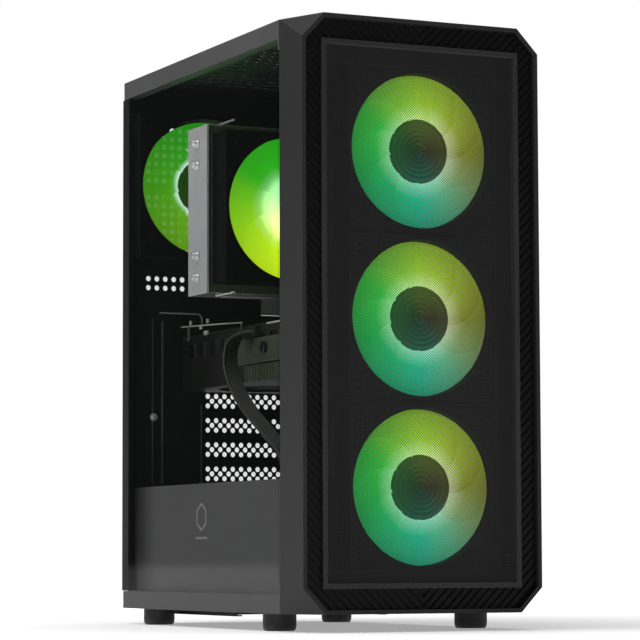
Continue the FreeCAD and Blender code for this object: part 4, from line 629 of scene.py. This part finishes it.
MESH_PITCH = 0.0020
MESH_HOLE = 0.80
low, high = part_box("front_mesh")
mesh_rows = int((high[2] - low[2]) / MESH_PITCH)
mesh_columns = int((high[0] - low[0]) / MESH_PITCH)
row_height = (high[2] - low[2]) / mesh_rows
fan_heights = [middle_of(f"front_fan_frame_{place}")[2] for place in ("bottom", "middle", "top")]
seams = [round(((lower + upper) / 2 - low[2]) / row_height)
         for lower, upper in zip(fan_heights, fan_heights[1:])]
lattice("front_mesh_lower", 0, seams[0], mesh_rows, mesh_columns, MESH_HOLE, "bezel", "front_mesh")
lattice("front_mesh_centre", seams[0], seams[1], mesh_rows, mesh_columns, MESH_HOLE, "bezel")
lattice("front_mesh_upper", seams[1], mesh_rows, mesh_rows, mesh_columns, MESH_HOLE, "bezel")

# ------------------------------------------------------------ small hardware
KNURL_DEPTH = 0.0004
for body, node in (("glass_screw_top", "thumbscrew_left_top"),
                   ("glass_screw_bottom", "thumbscrew_left_bottom"),
                   ("steel_screw_top", "thumbscrew_right_top"),
                   ("steel_screw_bottom", "thumbscrew_right_bottom")):
    low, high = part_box(node)
    middle = ((low[0] + high[0]) / 2, low[1], (low[2] + high[2]) / 2)
    length = high[1] - low[1]
    turned(node + "_knurled", middle,
           [(0.0019, 0.0), (0.0019, 0.0052), (0.0048, 0.0052), (0.0060, 0.0060),
            (0.0060, length - 0.0010), (0.0050, length - 0.0003), (0.0026, length - 0.0003),
            (0.0020, length - 0.0014)], BLACK_SCREW, body, node, steps=72, teeth=KNURL_DEPTH)

PIPE_TIP = [(0.0040, -0.0001), (0.0042, -0.0006), (0.0036, -0.0012), (0.0031, -0.0014),
            (0.0030, -0.0036), (0.0022, -0.0048), (0.0008, -0.0053)]
low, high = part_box("cooler_cap")
cap_height = high[2] - low[2]
for index, rise in enumerate((0.4, 0.27, -0.27, -0.4)):
    spot = (low[0], (low[1] + high[1]) / 2, (low[2] + high[2]) / 2 + rise * cap_height)
    turned(f"pipe_tip_{index + 1}", spot, PIPE_TIP, NICKEL, "chassis", axis="x", steps=32)

# Folds, wire and screw on the inner face of the rear panel, in millimetres. The folds are pale strips on
# the black panel: painted highlight.
low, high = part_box("rear_panel")
inner = low[1] * MM
for name, x, bottom, top, wide, finish in (("rear_fold_outer", -72.1, 115, 253, 0.7, DULL_PARTS_AND_FOLD_HIGHLIGHT),
                                           ("rear_fold_inner", -63.4, 115, 251, 1.4, DULL_PARTS_AND_FOLD_HIGHLIGHT),
                                           ("rear_fold_slots", -28.3, 114, 182, 0.9, DULL_PARTS_AND_FOLD_HIGHLIGHT)):
    slab(name, (x - wide / 2, inner - 1.6, bottom), (x + wide / 2, inner - 0.1, top), finish, "chassis")
WIRE_RADIUS = 0.65
wire_y = inner - 2
strand("rear_rail_wire",
       [(-66, wire_y, 257.6), (-36, wire_y, 257.6), (-30.5, wire_y, 257.2), (-28.4, wire_y, 254.6),
        (-28.2, wire_y, 250)], WIRE_RADIUS, PALE_PARTS_AND_EDGE_HIGHLIGHT, "chassis")
turned("rear_screw", (-0.0709, low[1], 0.1705),
       [(0.0034, -0.0001), (0.0034, -0.0008), (0.0026, -0.0020), (0.0010, -0.0024)], NICKEL,
       "chassis", steps=24)

low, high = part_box("slot_brackets")
slab("top_slot_blank", (low[0] * MM + 4, inner - 1.6, high[2] * MM - 17),
     (high[0] * MM - 6, inner - 0.95, high[2] * MM - 1.5), STEEL, "chassis")

# ------------------------------------------------- graphics card, in millimetres
low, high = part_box("gpu_backplate")
card_x, card_top = low[0] * MM, high[2] * MM
front_y, rear_y = low[1] * MM, high[1] * MM
bar_x = card_x - 0.8
strand("card_stay_bar",
       [(bar_x, rear_y + 1, card_top + 8.8), (bar_x, 100, card_top + 6.0), (bar_x, 39, card_top + 3.2)],
       WIRE_RADIUS, PALE_PARTS_AND_EDGE_HIGHLIGHT, "chassis")
slab("card_stay_post", (card_x - 1.4, 149, card_top - 4), (card_x - 0.2, 153, card_top + 8), DULL_PARTS_AND_FOLD_HIGHLIGHT,
     "chassis")
slab("card_stay_foot", (card_x - 1.4, 39, card_top - 4), (card_x - 0.2, 42, card_top + 3), DULL_PARTS_AND_FOLD_HIGHLIGHT,
     "chassis")
# A pale strip along the card's top edge: painted highlight.
slab("card_front_edge_highlight", (card_x - 0.6, front_y, card_top - 1.6), (card_x - 0.1, -7, card_top - 0.2),
     PALE_PARTS_AND_EDGE_HIGHLIGHT, "chassis", 0.0001)

low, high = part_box("gpu_shroud")
side_x, side_top = low[0] * MM, high[2] * MM
slab("card_trim_plate", (side_x - 0.9, front_y + 4, side_top - 27.5), (side_x - 0.1, 46, side_top - 8),
     OLIVE, "chassis")
TRIM_RIBS = 17
RIB_PITCH = 5.6
RIB_WIDTH = 3.4
for index in range(TRIM_RIBS):
    start = front_y + 6 + index * RIB_PITCH
    slab(f"card_trim_rib_{index + 1}", (side_x - 1.5, start, side_top - 42),
         (side_x - 0.1, start + RIB_WIDTH, side_top - 29.5), OLIVE, "chassis")
turned("card_trim_knob", (side_x / MM, -0.0071, side_top / MM - 0.0165),
       [(0.0046, -0.0009), (0.0046, -0.0030), (0.0040, -0.0036), (0.0012, -0.0036)], BLACK_SCREW,
       "chassis", axis="x", steps=32)
PIN_HEIGHT = 3.4
for index, (y, rise, wide) in enumerate(((146, 9.0, 2.4), (110, 8.0, 2.4), (124, 4.0, 3.0),
                                         (113, -1.5, 6.5))):
    slab(f"card_pin_{index + 1}", (card_x - 2.0, y - wide / 2, card_top + rise),
         (card_x - 0.15, y + wide / 2, card_top + rise + PIN_HEIGHT), PALE_PARTS_AND_EDGE_HIGHLIGHT, "chassis")

# Power leads, from the card's top edge down to the grommet in the shroud.
LEADS = 5
LEAD_RADIUS = 1.7
LEAD_SPACING = 3.0
plug_y = middle_of("gpu_power_cable")[1] * MM - 7
route = [(side_x + 0.5, plug_y + 8, side_top - 2), (side_x - 6, plug_y + 16, side_top - 2.5),
         (side_x - 12, plug_y + 20, side_top - 9), (side_x - 17, plug_y + 17, side_top - 22),
         (side_x - 19, plug_y + 8, side_top - 37.5), (side_x - 18, plug_y - 5, side_top - 53),
         (side_x - 15, plug_y - 19, side_top - 67), (side_x - 11, plug_y - 33, side_top - 78.4),
         (side_x - 8, plug_y - 44.5, side_top - 88), (side_x - 5, plug_y - 58, side_top - 98.5),
         (side_x - 4, plug_y - 70, side_top - 123.5)]
for index in range(LEADS):
    shift = (index - (LEADS - 1) / 2) * LEAD_SPACING
    points = []
    for knot, (x, y, z) in enumerate(route):
        fan_out = min(knot / 2, 1.0)
        points.append((x + shift * fan_out, y + shift * (1.3 - 0.8 * fan_out), z + 0.2 * shift))
    nodes = ("gpu_power_cable",) if index == 0 else ()
    strand(f"card_lead_{index + 1}", points, LEAD_RADIUS, SLEEVE, "chassis", *nodes, roundness=4)
slab("card_plug", (side_x - 4, plug_y - 2, side_top - 6.5), (side_x + 0.5, plug_y + 18, side_top + 0.5),
     INLET, "chassis")
slab("lead_grommet", (side_x - 14, plug_y - 80, side_top - 124.6),
     (side_x + 6, plug_y - 60, side_top - 121.6), SLEEVE, "chassis", 0.001)

# ------------------------------------------------------- stage, light, camera
bpy.ops.mesh.primitive_plane_add(size=30, location=(0, 0, 0))
ground = bpy.context.object
ground.name = "studio_floor"
g = Graph("studio_floor_paint")
g.feed("Base Color", g.blend(g.noise(3.0), (0.86, 0.86, 0.86), (0.90, 0.90, 0.90)))
g.feed("Roughness", g.spread(g.noise(20.0), 0.6, 0.75))
distance = g.node("ShaderNodeVectorMath", _0=g.place)
distance.operation = "LENGTH"
fade = g.node("ShaderNodeMapRange", Value=distance.outputs["Value"])
fade.inputs["From Min"].default_value = 0.15
fade.inputs["From Max"].default_value = 0.9
fade.inputs["To Min"].default_value = 0.35
fade.inputs["To Max"].default_value = 1.0
g.feed("Emission Color", (1.0, 1.0, 1.0))
g.feed("Emission Strength", fade.outputs[0])
ground.data.materials.append(g.material)
ground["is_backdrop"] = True

world = bpy.data.worlds.new("studio")
scene.world = world
world.use_nodes = True
tree = world.node_tree
sky = tree.nodes["Background"]
sky.inputs["Color"].default_value = (1, 1, 1, 1)
path = tree.nodes.new("ShaderNodeLightPath")
level = tree.nodes.new("ShaderNodeMapRange")
level.inputs["To Min"].default_value = 0.05
level.inputs["To Max"].default_value = 1.0
tree.links.new(path.outputs["Is Camera Ray"], level.inputs["Value"])
tree.links.new(level.outputs[0], sky.inputs["Strength"])


def softbox(name, spot, target, wide, tall, power):
    """Soft rectangular lamp aimed at a point."""
    data = bpy.data.lights.new(name, "AREA")
    data.shape = "RECTANGLE"
    data.size, data.size_y, data.energy = wide, tall, power
    lamp = bpy.data.objects.new(name, data)
    scene.collection.objects.link(lamp)
    lamp.location = spot
    aim = Vector(target) - Vector(spot)
    lamp.rotation_euler = aim.to_track_quat("-Z", "Y").to_euler()


softbox("top_box", (0.0, 0.0, 2.4), (0, 0, 0), 2.2, 2.2, 30)
softbox("left_box", (-0.85, -0.1, 1.15), (0, 0, 0.45), 0.5, 0.5, 8)

camera = bpy.data.objects.new("camera", bpy.data.cameras.new("camera"))
scene.collection.objects.link(camera)
heading, pitch, roll = math.radians(25.142), math.radians(4.735), math.radians(-0.1815)
forward = Vector((math.sin(heading) * math.cos(pitch), math.cos(heading) * math.cos(pitch),
                  math.sin(pitch)))
right = Vector((math.cos(heading), -math.sin(heading), 0))
up = right.cross(forward)
side = right * math.cos(roll) + up * math.sin(roll)
top = up * math.cos(roll) - right * math.sin(roll)
camera.matrix_world = Matrix((
    (side.x, top.x, -forward.x, -0.95646),
    (side.y, top.y, -forward.y, -1.85945 + cad_low[1]),
    (side.z, top.z, -forward.z, 0.05413),
    (0, 0, 0, 1),
))
camera.data.sensor_width = 36
camera.data.lens = 161.07
scene.camera = camera

low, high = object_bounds()
